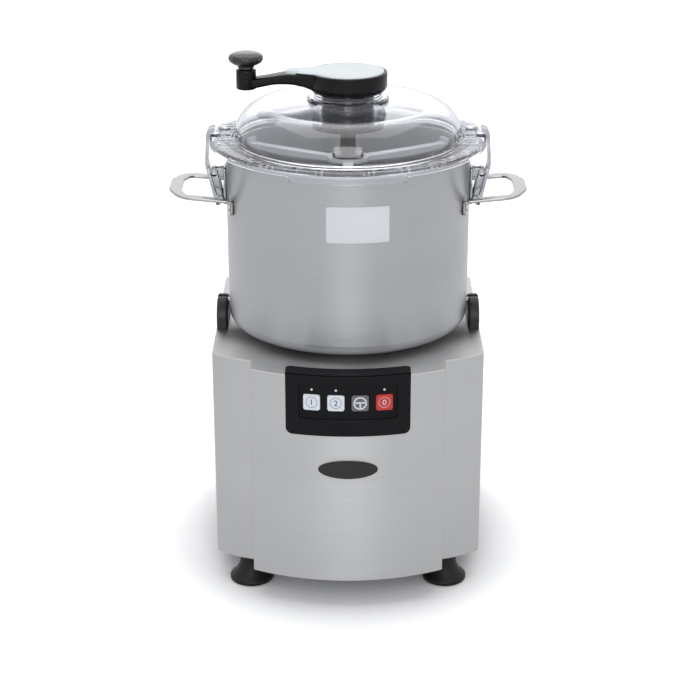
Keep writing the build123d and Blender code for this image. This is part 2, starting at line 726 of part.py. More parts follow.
def make_keypad(keypad_z, half_z):
    panel = front_shell(HAIR, KEYPAD_THICK, KEYPAD_LOW, KEYPAD_HIGH)
    panel &= round_box(
        KEYPAD_HALF - HAIR, half_z - HAIR, -2 * BULGE_RADIUS, 0, KEYPAD_CORNER_R, 0, keypad_z
    )
    hole = BUTTON_SIZE / 2 + PART_GAP
    for x in button_places():
        cut = round_box(hole, hole, -BULGE_REACH - 9, -BULGE_REACH + 9, BUTTON_CORNER_R, 0, BUTTON_Z)
        panel -= on_front(cut, x)
    lenses = []
    for x in lens_places():
        panel -= on_front(bar_y(LENS_R + FIT, -BULGE_REACH - 9, -BULGE_REACH + 9, 0, LENS_Z), x)
        lens = bar_y(LENS_R, -BULGE_REACH - KEYPAD_THICK - LENS_PROUD, -BULGE_REACH + LENS_DEPTH, 0, LENS_Z)
        lenses.append(on_front(lens, x))
    save("keypad_panel", panel)
    save("indicator_lenses", *lenses)
    for name, x in zip(("one", "two", "pulse", "off"), button_places()):
        save(f"button_{name}", on_front(button(), x))


def button():
    """One square key with a lip behind the panel, at the middle of the bulged front."""
    face_y = -BULGE_REACH - BUTTON_PROUD
    lip_y = -BULGE_REACH + PART_GAP
    key = round_box(BUTTON_SIZE / 2, BUTTON_SIZE / 2, face_y, lip_y + BUTTON_FLANGE, BUTTON_CORNER_R, 0,
        BUTTON_Z)
    key = chamfer(key.edges().group_by(Axis.Y)[0], BUTTON_EDGE)
    half = BUTTON_SIZE / 2 + BUTTON_FLANGE_LIP
    return key + round_box(half, half, lip_y, lip_y + BUTTON_FLANGE, BUTTON_CORNER_R, 0, BUTTON_Z)


def make_board():
    """The control board, with a switch behind each key and pillars to the housing."""
    face_y = -BULGE_REACH + BOARD_SETBACK
    half_x = 1.5 * BUTTON_PITCH + BOARD_MARGIN
    low, high = BUTTON_Z - BOARD_HALF_HEIGHT, BUTTON_Z + BOARD_HALF_HEIGHT
    board = block((-half_x, face_y, low), (half_x, face_y + BOARD_THICK, high))
    for x in button_places():
        arc_y = BULGE_CENTRE_Y - sqrt(BULGE_RADIUS**2 - x**2)
        back_y = arc_y + PART_GAP + BUTTON_FLANGE + BUTTON_TRAVEL + SWITCH_GAP
        board += bar_y(SWITCH_R, back_y, face_y, x, BUTTON_Z)
    for x in (BOARD_PILLAR_INSET - half_x, half_x - BOARD_PILLAR_INSET):
        skin_y = BULGE_CENTRE_Y - sqrt((BULGE_RADIUS - SHEET) ** 2 - (abs(x) + BOARD_PILLAR_R) ** 2)
        for z in (low + BOARD_PILLAR_INSET, high - BOARD_PILLAR_INSET):
            board += bar_y(BOARD_PILLAR_R, skin_y + 3 * HAIR, face_y, x, z)
    save("control_board", board)


def make_badge():
    oval = Plane((0, -2 * BULGE_RADIUS, BADGE_Z), x_dir=(1, 0, 0), z_dir=(0, 1, 0)) * Ellipse(
        BADGE_HALF_WIDTH, BADGE_HALF_HEIGHT
    )
    wall = front_shell(HAIR, BADGE_THICK, BADGE_Z - 2 * BADGE_HALF_HEIGHT, BADGE_Z + 2 * BADGE_HALF_HEIGHT)
    save("badge_plate", wall & extrude(oval, 2 * BULGE_RADIUS))


# ---------------------------------------------------------------- motor and drive
def motor_screw_places():
    angles = [radians(45 + 90 * i) for i in range(4)]
    return [(MOTOR_SCREW_CIRCLE_R * cos(a), MOTOR_SCREW_CIRCLE_R * sin(a)) for a in angles]


def make_motor():
    save("motor_stator", ring(STATOR_BORE_R, STATOR_R, STATOR_LOW, STATOR_HIGH))
    upper_seat = TOP_PLATE_LOW - BELL_WALL - BEARING_HEIGHT
    upper = turned(
        (SHAFT_R + 4, TOP_PLATE_LOW), (STATOR_R, TOP_PLATE_LOW), (STATOR_R, STATOR_HIGH),
        (STATOR_R - BELL_WALL, STATOR_HIGH), (STATOR_R - BELL_WALL, TOP_PLATE_LOW - BELL_FACE),
        (BEARING_R + BELL_WALL, TOP_PLATE_LOW - BELL_FACE), (BEARING_R + BELL_WALL, upper_seat),
        (BEARING_R, upper_seat), (BEARING_R, TOP_PLATE_LOW - BELL_WALL), (SHAFT_R + 4,
            TOP_PLATE_LOW - BELL_WALL),
    )
    for x, y in motor_screw_places():
        upper -= rod(MOTOR_SCREW_R + FIT, TOP_PLATE_LOW - 2 * BELL_FACE, TOP_PLATE_LOW + OVERRUN, x, y)
    save("motor_bell_upper", upper)
    seat = LOWER_BELL + BELL_WALL
    lower = turned(
        (SHAFT_R + 4, LOWER_BELL), (STATOR_R, LOWER_BELL), (STATOR_R, STATOR_LOW), (STATOR_R - BELL_WALL,
            STATOR_LOW),
        (STATOR_R - BELL_WALL, seat), (BEARING_R + BELL_WALL, seat), (BEARING_R + BELL_WALL,
            seat + BEARING_HEIGHT),
        (BEARING_R, seat + BEARING_HEIGHT), (BEARING_R, seat), (SHAFT_R + 4, seat),
    )
    save("motor_bell_lower", lower)
    bearings = [
        ring(SHAFT_R + FIT, BEARING_R - FIT, upper_seat, TOP_PLATE_LOW - BELL_WALL),
        ring(SHAFT_R + FIT, BEARING_R - FIT, seat, seat + BEARING_HEIGHT),
    ]
    save("motor_bearings", *bearings)
    screws = []
    for x, y in motor_screw_places():
        screw = rod(MOTOR_SCREW_HEAD_R, BASE_TOP, BASE_TOP + MOTOR_SCREW_HEAD, x, y)
        screws.append(screw + rod(MOTOR_SCREW_R, TOP_PLATE_LOW - MOTOR_SCREW_GRIP, BASE_TOP, x, y))
    save("motor_screws", *screws)


def spindle_key(gap, low, high):
    """The two flats that turn the blades."""
    reach = SPINDLE_R + gap
    flat = SPINDLE_FLAT + gap
    return rod(reach, low, high) & block((-reach, -flat, low), (reach, flat, high))


def make_drive():
    key_low = SPINDLE_TOP - SPINDLE_KEY
    shaft = rod(SHAFT_R, FAN_LOW - SHAFT_TAIL, SPINDLE_LOW) + rod(SPINDLE_R, SPINDLE_LOW, key_low)
    shaft += spindle_key(0, key_low, SPINDLE_TOP)
    save("drive_shaft", shaft)
    save("rotor_core", ring(SHAFT_R + FIT / 2, ROTOR_R, STATOR_LOW + 6, STATOR_HIGH - 6))
    fan = ring(SHAFT_R + FIT / 2, FAN_HUB_R, FAN_LOW, FAN_LOW + FAN_HEIGHT)
    fan += ring(SHAFT_R + 2, FAN_R, FAN_LOW, FAN_LOW + FAN_BLADE_THICK)
    for i in range(FAN_BLADES):
        blade = block((FAN_HUB_R - OVERRUN, -FAN_BLADE_THICK / 2, FAN_LOW), (FAN_R - 2,
            FAN_BLADE_THICK / 2, FAN_LOW + FAN_HEIGHT))
        fan += Rot(0, 0, i * 360 / FAN_BLADES) * blade
    save("cooling_fan", fan)


def make_base_fittings():
    save("spindle_seal", ring(SHAFT_R + FIT, SEAL_R - SEAL_LIP - FIT, TOP_PLATE_LOW, BASE_TOP + SEAL_PROUD)
         + ring(SHAFT_R + FIT, SEAL_R, BASE_TOP, BASE_TOP + SEAL_PROUD))
    save("bowl_seat_ring", ring(SEAT_R, SEAT_R + SEAT_WIDTH, BASE_TOP, BOWL_BOTTOM))
    save("run_capacitor", rod(CAPACITOR_R, FLOOR_TOP, FLOOR_TOP + CAPACITOR_HEIGHT, CAPACITOR_X,
        CAPACITOR_Y))
    make_gland()


def make_gland():
    """The cable gland: a hexagon and a nose outside, and its nut inside."""
    hexagon = Plane((GLAND_X, REAR_FACE, GLAND_Z), x_dir=(1, 0, 0), z_dir=(0, 1,
        0)) * RegularPolygon(GLAND_HEX_R, 6)
    end = REAR_FACE + GLAND_OUT
    nose = bar_y(GLAND_R, BASE_BACK - GLAND_NUT - GLAND_TAIL, end, GLAND_X, GLAND_Z)
    body = extrude(hexagon, GLAND_NUT) + chamfer(nose.edges().group_by(Axis.Y)[-1], GLAND_EDGE)
    nut = Plane((GLAND_X, BASE_BACK - SHEET - GLAND_NUT, GLAND_Z), x_dir=(1, 0, 0), z_dir=(0, 1, 0))
    body += extrude(nut * RegularPolygon(GLAND_HEX_R, 6), GLAND_NUT)
    save("cable_gland", body - bar_y(GLAND_BORE_R, BASE_BACK - 2 * GLAND_NUT - GLAND_TAIL, end + OVERRUN,
        GLAND_X, GLAND_Z))


def post_screw_places():
    x = (POST_IN + POST_OUT) / 2
    return [(sx * x, sy * (POST_HALF - POST_SCREW_INSET)) for sx in (-1, 1) for sy in (-1, 1)]


def make_posts():
    """Round-topped posts with open slots that hold the bowl's side studs."""
    side = Plane((POST_IN, 0, BASE_TOP), x_dir=(0, 1, 0), z_dir=(1, 0, 0))
    post = extrude(side * RectangleRounded(2 * POST_HALF, 2 * (POST_TOP - BASE_TOP), POST_TOP_R), POST_DEPTH)
    post = fillet(post.faces().sort_by(Axis.X)[-1].edges(), POST_OUTER_R)
    post = fillet(post.faces().sort_by(Axis.X)[0].edges(), POST_INNER_R)
    post &= block((POST_IN, -POST_HALF, BASE_TOP), (POST_OUT, POST_HALF, POST_TOP))
    slot = STUD_R + PART_GAP
    post -= block((0, -slot, STUD_Z), (POST_OUT + OVERRUN, slot, POST_TOP + OVERRUN))
    post -= bar_x(slot, 0, POST_OUT + OVERRUN, 0, STUD_Z)
    screws = []
    for x, y in post_screw_places():
        if x > 0:
            post -= rod(SCREW_R + FIT, BASE_TOP - OVERRUN, POST_SCREW_TOP, x, y)
        low = TOP_PLATE_LOW - SCREW_HEAD
        screws.append(rod(SCREW_HEAD_R, low, TOP_PLATE_LOW, x, y) + rod(SCREW_R, low,
            POST_SCREW_TOP - OVERRUN, x, y))
    save("bowl_post_right", post)
    save("bowl_post_left", mirrored(post))
    screws += [screw_y(x, z) for x, z in rear_screw_places()]
    save("panel_screws", *screws)


# ---------------------------------------------------------------- bowl
def bowl_skin(radius, bottom, corner):
    """The bowl as a filled shape with a rounded lower edge."""
    body = rod(radius, bottom, BOWL_TOP)
    return fillet(body.edges().group_by(Axis.Z)[0], corner)


def rivet(angle, z, root):
    """A rivet through the wall, pointing along a radius; root is where its outer head sits."""
    pin = bar_x(RIVET_R, BOWL_INNER_R - RIVET_HEAD, root + RIVET_HEAD, 0, z)
    head = bar_x(RIVET_HEAD_R, root, root + RIVET_HEAD, 0, z)
    head = chamfer(head.edges().group_by(Axis.X)[-1], RIVET_HEAD / 2)
    return Rot(0, 0, angle) * (pin + head + bar_x(RIVET_HEAD_R, BOWL_INNER_R - RIVET_HEAD,
        BOWL_INNER_R - 2 * HAIR, 0, z))


def tab_angle():
    """How far round the bowl from the side a handle's arm ends."""
    return degrees(asin((HANDLE_HALF_ROOT - HANDLE_ARM / 2) / BOWL_R))


def bowl_rivet_places():
    """Every rivet in the bowl's wall: angle, height, and where its head sits."""
    places = []
    for side in (0, 180):
        for turn in (-tab_angle(), tab_angle()):
            places += [(side + turn, HANDLE_TOP - TAB_DROP + z,
                WALL_SEAT_R + TAB_THICK) for z in tab_rivet_heights()]
        places += [(side, z, WALL_SEAT_R + BRACKET_THICK) for z in bracket_rivet_heights()]
    return places


def tab_rivet_heights():
    return [TAB_RIVET_RISE, TAB_RIVET_RISE + RIVET_PITCH]


def bracket_rivet_heights():
    low = BRACKET_LOW + BRACKET_RIVET_RISE
    return [low, low + BRACKET_RIVET_PITCH]


def make_bowl():
    bowl = bowl_skin(BOWL_R, BOWL_BOTTOM, BOWL_CORNER_R)
    bowl += rod(RIM_R, BOWL_TOP - RIM_THICK, BOWL_TOP)
    cavity = rod(BOWL_INNER_R, BOWL_FLOOR, BOWL_TOP + OVERRUN)
    bowl -= fillet(cavity.edges().group_by(Axis.Z)[0], BOWL_CORNER_R - BOWL_WALL)
    bowl -= rod(TUBE_R + FIT, BOWL_BOTTOM - OVERRUN, BOWL_FLOOR + OVERRUN)
    for angle, z, root in bowl_rivet_places():
        bowl -= Rot(0, 0, angle) * bar_x(RIVET_R + FIT, BOWL_INNER_R - BOWL_WALL, BOWL_R + OVERRUN, 0, z)
    for side in (-1, 1):
        bowl -= bar_x(STUD_R + FIT, min(0, side * BOWL_R * 2), max(0, side * BOWL_R * 2), 0, STUD_Z)
    save("bowl_shell", bowl)
    tube = ring(TUBE_INNER_R, TUBE_R, BOWL_BOTTOM, TUBE_TOP)
    save("bowl_centre_tube", tube + ring(TUBE_INNER_R, TUBE_R + TUBE_FLANGE, BOWL_FLOOR,
        BOWL_FLOOR + TUBE_FLANGE_THICK))
    save("bowl_rivets", *[rivet(*place) for place in bowl_rivet_places()])
    head_in = BOWL_INNER_R - STUD_HEAD_GAP - STUD_HEAD
    stud = bar_x(STUD_R, head_in + OVERRUN, BOWL_R + STUD_LENGTH, 0, STUD_Z)
    stud += bar_x(STUD_R + STUD_HEAD_LIP, head_in, head_in + STUD_HEAD, 0, STUD_Z)
    save("bowl_studs", stud, mirrored(stud))


def make_label():
    angle = degrees(asin(LABEL_X / BOWL_R))
    wall = ring(BOWL_R + HAIR, BOWL_R + HAIR + LABEL_THICK, LABEL_Z - LABEL_HEIGHT / 2,
        LABEL_Z + LABEL_HEIGHT / 2)
    plate = wall & round_box(LABEL_WIDTH / 2, LABEL_HEIGHT / 2, -2 * BOWL_R, -BOWL_R / 2, LABEL_CORNER_R,
        0, LABEL_Z)
    save("label_plate", Rot(0, 0, angle) * plate)


def loop_outline(root, tip_x, tip, shoulder, flat):
    """Half a handle's plan and its mirror image: straight arms, sloped shoulders and a flat end."""
    near = [(0, -root), (tip_x - shoulder, -tip), (tip_x, -flat)]
    return near + [(x, -y) for x, y in reversed(near)]


def rounded_slab(points, low, high, reach, radius):
    """A plan outline between two heights, with the corners beyond a reach rounded."""
    solid = slab(points, low, high)
    return fillet([e for e in solid.edges().filter_by(Axis.Z) if e.center().X > reach], radius)


def handle():
    """A flat loop that rises outward, with arms that end in tabs, at the right."""
    outer = loop_outline(HANDLE_HALF_ROOT, HANDLE_TIP_X, HANDLE_HALF_TIP, HANDLE_SHOULDER, HANDLE_FLAT_HALF)
    hole = loop_outline(HANDLE_HALF_ROOT - HANDLE_ARM, HANDLE_TIP_X - HANDLE_GRIP, HANDLE_HALF_TIP - HANDLE_ARM,
        HANDLE_HOLE_SHOULDER, HANDLE_FLAT_HALF)
    loop = rounded_slab(outer, HANDLE_LOW, HANDLE_TOP, BOWL_R, HANDLE_CORNER_R)
    loop -= rounded_slab(hole, HANDLE_LOW - OVERRUN, HANDLE_TOP + OVERRUN, BOWL_R, HANDLE_HOLE_R)
    loop = Pos(WALL_SEAT_R, 0, HANDLE_TOP) * Rot(0, -HANDLE_TILT, 0) * Pos(-WALL_SEAT_R, 0, -HANDLE_TOP) * loop
    loop -= rod(WALL_SEAT_R, HANDLE_LOW - HANDLE_REACH, HANDLE_TOP + HANDLE_REACH)
    low = HANDLE_TOP - TAB_DROP
    half = TAB_WIDTH / 2
    for turn in (-tab_angle(), tab_angle()):
        tab = block((WALL_SEAT_R, -half, low + half), (WALL_SEAT_R + TAB_THICK, half,
            HANDLE_TOP - HANDLE_THICK / 2))
        tab += bar_x(half, WALL_SEAT_R, WALL_SEAT_R + TAB_THICK, 0, low + half)
        loop += Rot(0, 0, turn) * tab
        for z in tab_rivet_heights():
            loop -= Rot(0, 0, turn) * bar_x(RIVET_R + FIT, BOWL_INNER_R - OVERRUN,
                WALL_SEAT_R + 2 * TAB_THICK, 0, low + z)
    return max(loop.solids(), key=lambda part: part.volume)


def make_handles():
    right = handle()
    save("handle_right", right)
    save("handle_left", Rot(0, 0, 180) * right)


# ---------------------------------------------------------------- latches
def bracket():
    x0 = WALL_SEAT_R
    x1 = x0 + BRACKET_THICK
    plate = block((x0, -BRACKET_HALF, BRACKET_LOW), (x1, BRACKET_HALF, BRACKET_HIGH))
    a_x, a_z = LATCH_A
    ear = [(x1 - 0.5, BRACKET_HIGH - 2), (x1 - 0.5, a_z - EAR_DROP), (a_x, a_z - LATCH_BOSS_EYE_R), (a_x,
        a_z + LATCH_BOSS_EYE_R)]
    plate += both_cheeks(ear, EAR_IN, EAR_IN + EAR_THICK)
    for sign in (-1, 1):
        ends = sorted((sign * EAR_IN, sign * (EAR_IN + EAR_THICK)))
        plate += eye(LATCH_A, LATCH_BOSS_EYE_R, *ends)
    plate -= eye(LATCH_A, LATCH_PIN_R + FIT, -20, 20)
    for z in bracket_rivet_heights():
        plate -= bar_x(RIVET_R + FIT, BOWL_INNER_R - OVERRUN, WALL_SEAT_R + 2 * TAB_THICK, 0, z)
    return plate


def lever():
    """The over-centre lever: two cheeks and a thumb bar."""
    a_x, a_z = LATCH_A
    b_x, b_z = LATCH_B
    tail_x, tail_z = b_x + LEVER_TAIL_OUT, b_z - LEVER_TAIL_DROP
    outline = [
        (a_x - LEVER_HALF, a_z - 1), (b_x - 2.6, b_z + 2), (b_x - 2.6, b_z - 2), (tail_x - 2.2, tail_z - 2),
        (tail_x + 2.4, tail_z - 2), (tail_x + 2.4, tail_z + 3), (a_x + LEVER_HALF, a_z - 1),
    ]
    body = both_cheeks(outline, CHEEK_IN, CHEEK_OUT)
    for sign in (-1, 1):
        ends = sorted((sign * CHEEK_IN, sign * CHEEK_OUT))
        body += eye(LATCH_A, LATCH_BOSS_EYE_R, *ends)
        body += eye(LATCH_B, LATCH_EYE_R, *ends)
    body += block((tail_x - OVERRUN, -CHEEK_OUT, tail_z - 2), (tail_x + 2.4, CHEEK_OUT, tail_z + 4))
    body -= eye(LATCH_A, LATCH_PIN_R + FIT, -20, 20)
    return body - eye(LATCH_B, LATCH_PIN_R + FIT / 2, -20, 20)


def strap_pin():
    pin = eye(LATCH_B, LATCH_PIN_R, -LUG_OUT, LUG_OUT)
    for sign in (-1, 1):
        ends = sorted((sign * (LUG_OUT + HAIR), sign * (LUG_OUT + HAIR + PIN_HEAD)))
        pin += eye(LATCH_B, LATCH_PIN_R, *sorted((0, ends[0] if sign < 0 else ends[1])))
        pin += eye(LATCH_B, LATCH_PIN_R + PIN_HEAD, *ends)
    return pin


def strap():
    """A flat strap with a narrow hook at its head and two cranked lugs at its foot."""
    slope = (CAM_HIGH[0] - CAM_LOW[0], CAM_HIGH[1] - CAM_LOW[1])
    length = hypot(*slope)
    gap = (PART_GAP * slope[1] / length, -PART_GAP * slope[0] / length)
    near, far = [
        (CAM_LOW[0] + gap[0] + slope[0] * share, CAM_LOW[1] + gap[1] + slope[1] * share) for share in (0.1, 1.2)
    ]
    knee_z = STRAP_LOW + STRAP_KNEE
    foot_out, knee_out, head_out = [
        place + STRAP_THICK for place in (STRAP_FOOT_R, STRAP_KNEE_R, STRAP_HEAD_R)
    ]
    outline = [
        (STRAP_FOOT_R, STRAP_LOW), (foot_out, STRAP_LOW), (knee_out, knee_z),
        (head_out, HOOK_TOP - HOOK_SLOPE), (head_out - HOOK_BEVEL, HOOK_TOP - HOOK_BEVEL),
        (head_out - HOOK_SLOPE, HOOK_TOP), (far[0] + HOOK_BEVEL, HOOK_TOP), (far[0], HOOK_TOP - HOOK_BEVEL / 2),
        far, near, (STRAP_HEAD_R, near[1] - HOOK_BEVEL), (STRAP_KNEE_R, knee_z),
    ]
    neck_z = knee_z + STRAP_NECK
    front = [
        (-LUG_OUT, STRAP_LOW), (LUG_OUT, STRAP_LOW), (LUG_OUT, neck_z), (HOOK_HALF, neck_z + STRAP_NECK_RUN),
        (HOOK_HALF, HOOK_TOP), (-HOOK_HALF, HOOK_TOP), (-HOOK_HALF, neck_z + STRAP_NECK_RUN),
        (-LUG_OUT, neck_z),
    ]
    body = plate_xz(outline, -LUG_OUT, LUG_OUT) & plate_yz(front, 0, 2 * BOWL_R)
    b_x, b_z = LATCH_B
    toe = (b_x + LUG_TOE_OUT, b_z)
    lug = [
        (b_x - LUG_HALF, b_z + 2), (b_x - LUG_HALF, b_z - 2), toe, (foot_out, STRAP_LOW),
        (knee_out, knee_z), (STRAP_KNEE_R, knee_z), (STRAP_FOOT_R, STRAP_LOW),
        (toe[0] - STRAP_THICK, b_z + LUG_TOE_RISE),
    ]
    body += both_cheeks(lug, LUG_IN, LUG_OUT)
    for sign in (-1, 1):
        body += eye(LATCH_B, LATCH_EYE_R, *sorted((sign * LUG_IN, sign * LUG_OUT)))
    return body - eye(LATCH_B, LATCH_PIN_R + FIT, -20, 20)


def clip_boss():
    """The cam block on the lid's flange that the hook bears on."""
    root = FLANGE_LOW + OVERRUN
    outline = [
        (CLIP_BOSS_IN, root), (CAM_LOW[0], root), CAM_LOW, CAM_HIGH, (CLIP_BOSS_IN, CAM_HIGH[1]),
    ]
    return plate_xz(outline, -CLIP_BOSS_HALF, CLIP_BOSS_HALF)


def clip_ribs():
    """The upright ribs on the flange, in front of the right hook and behind it."""
    half = CLIP_RIB_THICK / 2
    ribs = [
        block((0, sign * y - half, FLANGE_LOW + OVERRUN), (CLIP_RIB_REACH, sign * y + half,
            FLANGE_TOP + CLIP_RIB_HEIGHT))
        for sign in (-1, 1) for y in CLIP_RIB_PLACES
    ]
    inside = rod(DOME_R - DOME_WALL / 2, FLANGE_LOW, DOME_TOP)
    return [rib - inside for rib in ribs]


def make_latches():
    right = bracket()
    save("latch_bracket_right", right)
    save("latch_bracket_left", mirrored(right))
    pin = eye(LATCH_A, LATCH_PIN_R, -CHEEK_OUT - PIN_OVERHANG, CHEEK_OUT + PIN_OVERHANG)
    save("lever_pins", pin, mirrored(pin))
    for name, piece in (("latch_lever", lever()), ("strap_pin", strap_pin()), ("latch_strap", strap())):
        save(f"{name}_right", piece)
        save(f"{name}_left", mirrored(piece))


# ---------------------------------------------------------------- lid
def dome_solid(wall):
    """The dome as a filled shape, its skin moved in by a wall thickness."""
    shoulder_x = DOME_R - DOME_SHOULDER_R
    shoulder_r = DOME_SHOULDER_R - wall
    crown_r = DOME_CROWN_R - wall
    crown_z = DOME_TOP - DOME_CROWN_R
    shoulder_z = crown_z + sqrt((DOME_CROWN_R - DOME_SHOULDER_R) ** 2 - shoulder_x**2)
    lean = asin(shoulder_x / (DOME_CROWN_R - DOME_SHOULDER_R))
    side = DOME_R - wall
    joint = (crown_r * sin(lean), crown_z + crown_r * cos(lean))
    turn = (pi / 2 - lean) / 2
    middle = (shoulder_x + shoulder_r * cos(turn), shoulder_z + shoulder_r * sin(turn))
    half = lean / 2
    crown = (crown_r * sin(half), crown_z + crown_r * cos(half))
    low = FLANGE_LOW - (OVERRUN if wall else 0)
    lines = [
        Line((0, 0, low), (side, 0, low)),
        Line((side, 0, low), (side, 0, shoulder_z)),
        ThreePointArc((side, 0, shoulder_z), (middle[0], 0, middle[1]), (joint[0], 0, joint[1])),
        ThreePointArc((joint[0], 0, joint[1]), (crown[0], 0, crown[1]), (0, 0, crown_z + crown_r)),
        Line((0, 0, crown_z + crown_r), (0, 0, low)),
    ]
    return revolve(make_face(lines), Axis.Z)


def make_lid():
    flange = turned(
        (DOME_R - DOME_WALL, FLANGE_LOW), (SPIGOT_R - SPIGOT_WALL, FLANGE_LOW),
        (SPIGOT_R - SPIGOT_WALL, FLANGE_LOW - SPIGOT_DROP), (SPIGOT_R, FLANGE_LOW - SPIGOT_DROP),
            (SPIGOT_R, FLANGE_LOW),
        (SKIRT_INNER_R, FLANGE_LOW), (SKIRT_INNER_R, SKIRT_LOW), (FLANGE_R, SKIRT_LOW), (FLANGE_R,
            FLANGE_TOP - FLANGE_EDGE),
        (FLANGE_R - FLANGE_EDGE, FLANGE_TOP), (DOME_R + DOME_FILLET, FLANGE_TOP), (DOME_R - OVERRUN,
            FLANGE_TOP + DOME_FILLET),
        (DOME_R - DOME_WALL, FLANGE_TOP + DOME_FILLET),
    )
    lid = flange + dome_solid(0) - dome_solid(DOME_WALL)
    lid += rod(NECK_INNER_R, NECK_LOW, DOME_TOP + OVERRUN) + rod(NECK_R, DOME_TOP - OVERRUN, NECK_TOP)
    lid += turned(
        (NECK_INNER_R, DOME_TOP - OVERRUN), (COLLAR_R, DOME_TOP - OVERRUN), (COLLAR_R,
            DOME_TOP + COLLAR_HEIGHT * 0.6),
        (COLLAR_R - 2, DOME_TOP + COLLAR_HEIGHT), (NECK_INNER_R, DOME_TOP + COLLAR_HEIGHT),
    )
    lid -= rod(NECK_BORE_R, NECK_LOW - OVERRUN, NECK_TOP + OVERRUN)
    for part in [clip_boss(), *clip_ribs()]:
        lid += part
        lid += mirrored(part)
    lip_reach = FLANGE_R * sin(radians(LIP_HALF_ANGLE))
    lip_low = SKIRT_LOW - LIP_DROP
    lip = ring(SKIRT_INNER_R, FLANGE_R, lip_low, SKIRT_LOW + OVERRUN)
    lip &= round_box(lip_reach, LIP_DROP + 10, -FLANGE_R - OVERRUN, 0, LIP_DROP, 0, lip_low + LIP_DROP + 10)
    save("lid_dome", lid + lip)
    save("lid_gasket", ring(RIM_R - OVERRUN - GASKET_WIDTH, RIM_R - OVERRUN, BOWL_TOP,
        BOWL_TOP + GASKET_THICK))


# ---------------------------------------------------------------- crank and scraper
def arm_outline_points():
    """The crank arm seen from the front: a gentle arch from the hub down to the boss."""
    waist, bend, toe = [run - CRANK_REACH for run in (ARM_WAIST_RUN, ARM_BEND_RUN, ARM_TOE_RUN)]
    root = ARM_ROOT_INSET - CAP_R
    upper = [(root, CAP_TOP - 1.5), (waist, CAP_TOP - 1.9), (bend, CAP_TOP - 4.4), (-CRANK_REACH,
        CAP_TOP - 8.6)]
    lower = [(-CRANK_REACH, CAP_TOP - 20.0), (toe, CAP_TOP - 18.2), (bend, CAP_TOP - 14.2), (waist,
        CAP_TOP - 13.6),
             (-CAP_R - 2, CAP_TOP - 16.2), (root, CAP_LOW + OVERRUN)]
    return upper, lower


def crank_arm():
    upper, lower = arm_outline_points()
    lines = [
        Spline(*[(x, 0, z) for x, z in upper]),
        Line((upper[-1][0], 0, upper[-1][1]), (lower[0][0], 0, lower[0][1])),
        Spline(*[(x, 0, z) for x, z in lower]),
        Line((lower[-1][0], 0, lower[-1][1]), (upper[0][0], 0, upper[0][1])),
    ]
    beam = extrude(make_face(lines), ARM_HALF_BEAM, dir=(0, 1, 0), both=True)
    waist = ARM_WAIST_RUN - CRANK_REACH
    root = CAP_R - 2 * CAP_EDGE_R
    plan = slab(
        [(0, -root), (-CAP_R * 0.8, -ARM_HALF_ROOT), (waist, -ARM_HALF_WAIST), (-CRANK_REACH,
            -ARM_HALF_TIP),
         (-CRANK_REACH, ARM_HALF_TIP), (waist, ARM_HALF_WAIST), (-CAP_R * 0.8, ARM_HALF_ROOT), (0, root)],
        CAP_LOW, CAP_TOP + OVERRUN,
    )
    return beam & plan


def insert_face(grow):
    """The plan of the pale cap: a round head that narrows into a tail over the arm."""
    head_r = INSERT_R + grow
    tail = INSERT_TAIL_HALF + grow
    end = -INSERT_TAIL - grow
    root = head_r * 0.75
    lines = [
        ThreePointArc((-root * 0.6, -head_r * 0.893), (head_r, 0), (-root * 0.6, head_r * 0.893)),
        Line((-root * 0.6, head_r * 0.893), (end, tail)),
        Line((end, tail), (end, -tail)),
        Line((end, -tail), (-root * 0.6, -head_r * 0.893)),
    ]
    return make_face(lines)


def make_crank():
    cap = rod(CAP_R, CAP_LOW, CAP_TOP)
    cap = fillet(cap.edges().group_by(Axis.Z)[-1], CAP_EDGE_R)
    cap = fillet(cap.edges().group_by(Axis.Z)[0], CAP_ROUND)
    body = cap + crank_arm() + rod(BOSS_R, BOSS_LOW, BOSS_TOP, -CRANK_REACH)
    body += rod(SLEEVE_R, RETAINER_TOP, CAP_LOW + OVERRUN)
    body -= Pos(0, 0, CAP_TOP - INSERT_DEPTH) * extrude(insert_face(PART_GAP), 2 * INSERT_DEPTH)
    body -= rod(SLEEVE_BORE_R + FIT, RETAINER_TOP - OVERRUN, CAP_TOP - INSERT_DEPTH - CAP_FLOOR)
    body -= rod(KNOB_PIN_R + FIT, BOSS_TOP - KNOB_PIN_DEPTH, BOSS_TOP + OVERRUN, -CRANK_REACH)
    save("crank_arm", body)
    insert = Pos(0, 0, CAP_TOP - INSERT_DEPTH + HAIR) * extrude(insert_face(0),
        INSERT_DEPTH + INSERT_PROUD - HAIR)
    save("crank_cap", fillet(insert.edges().group_by(Axis.Z)[-1], INSERT_EDGE))
    retainer_low = RETAINER_TOP - RETAINER_HEIGHT
    save("crank_retainer", ring(SLEEVE_BORE_R + FIT, RETAINER_R, retainer_low, RETAINER_TOP))
    stem_top = CAP_TOP - INSERT_DEPTH - CAP_FLOOR - SCRAPER_STEM_GAP
    save("scraper_hub", rod(SCRAPER_HUB_R, SCRAPER_HUB_LOW, SCRAPER_HUB_HIGH) + rod(SLEEVE_BORE_R,
        SCRAPER_HUB_HIGH, stem_top))
    make_scraper()
    make_knob()


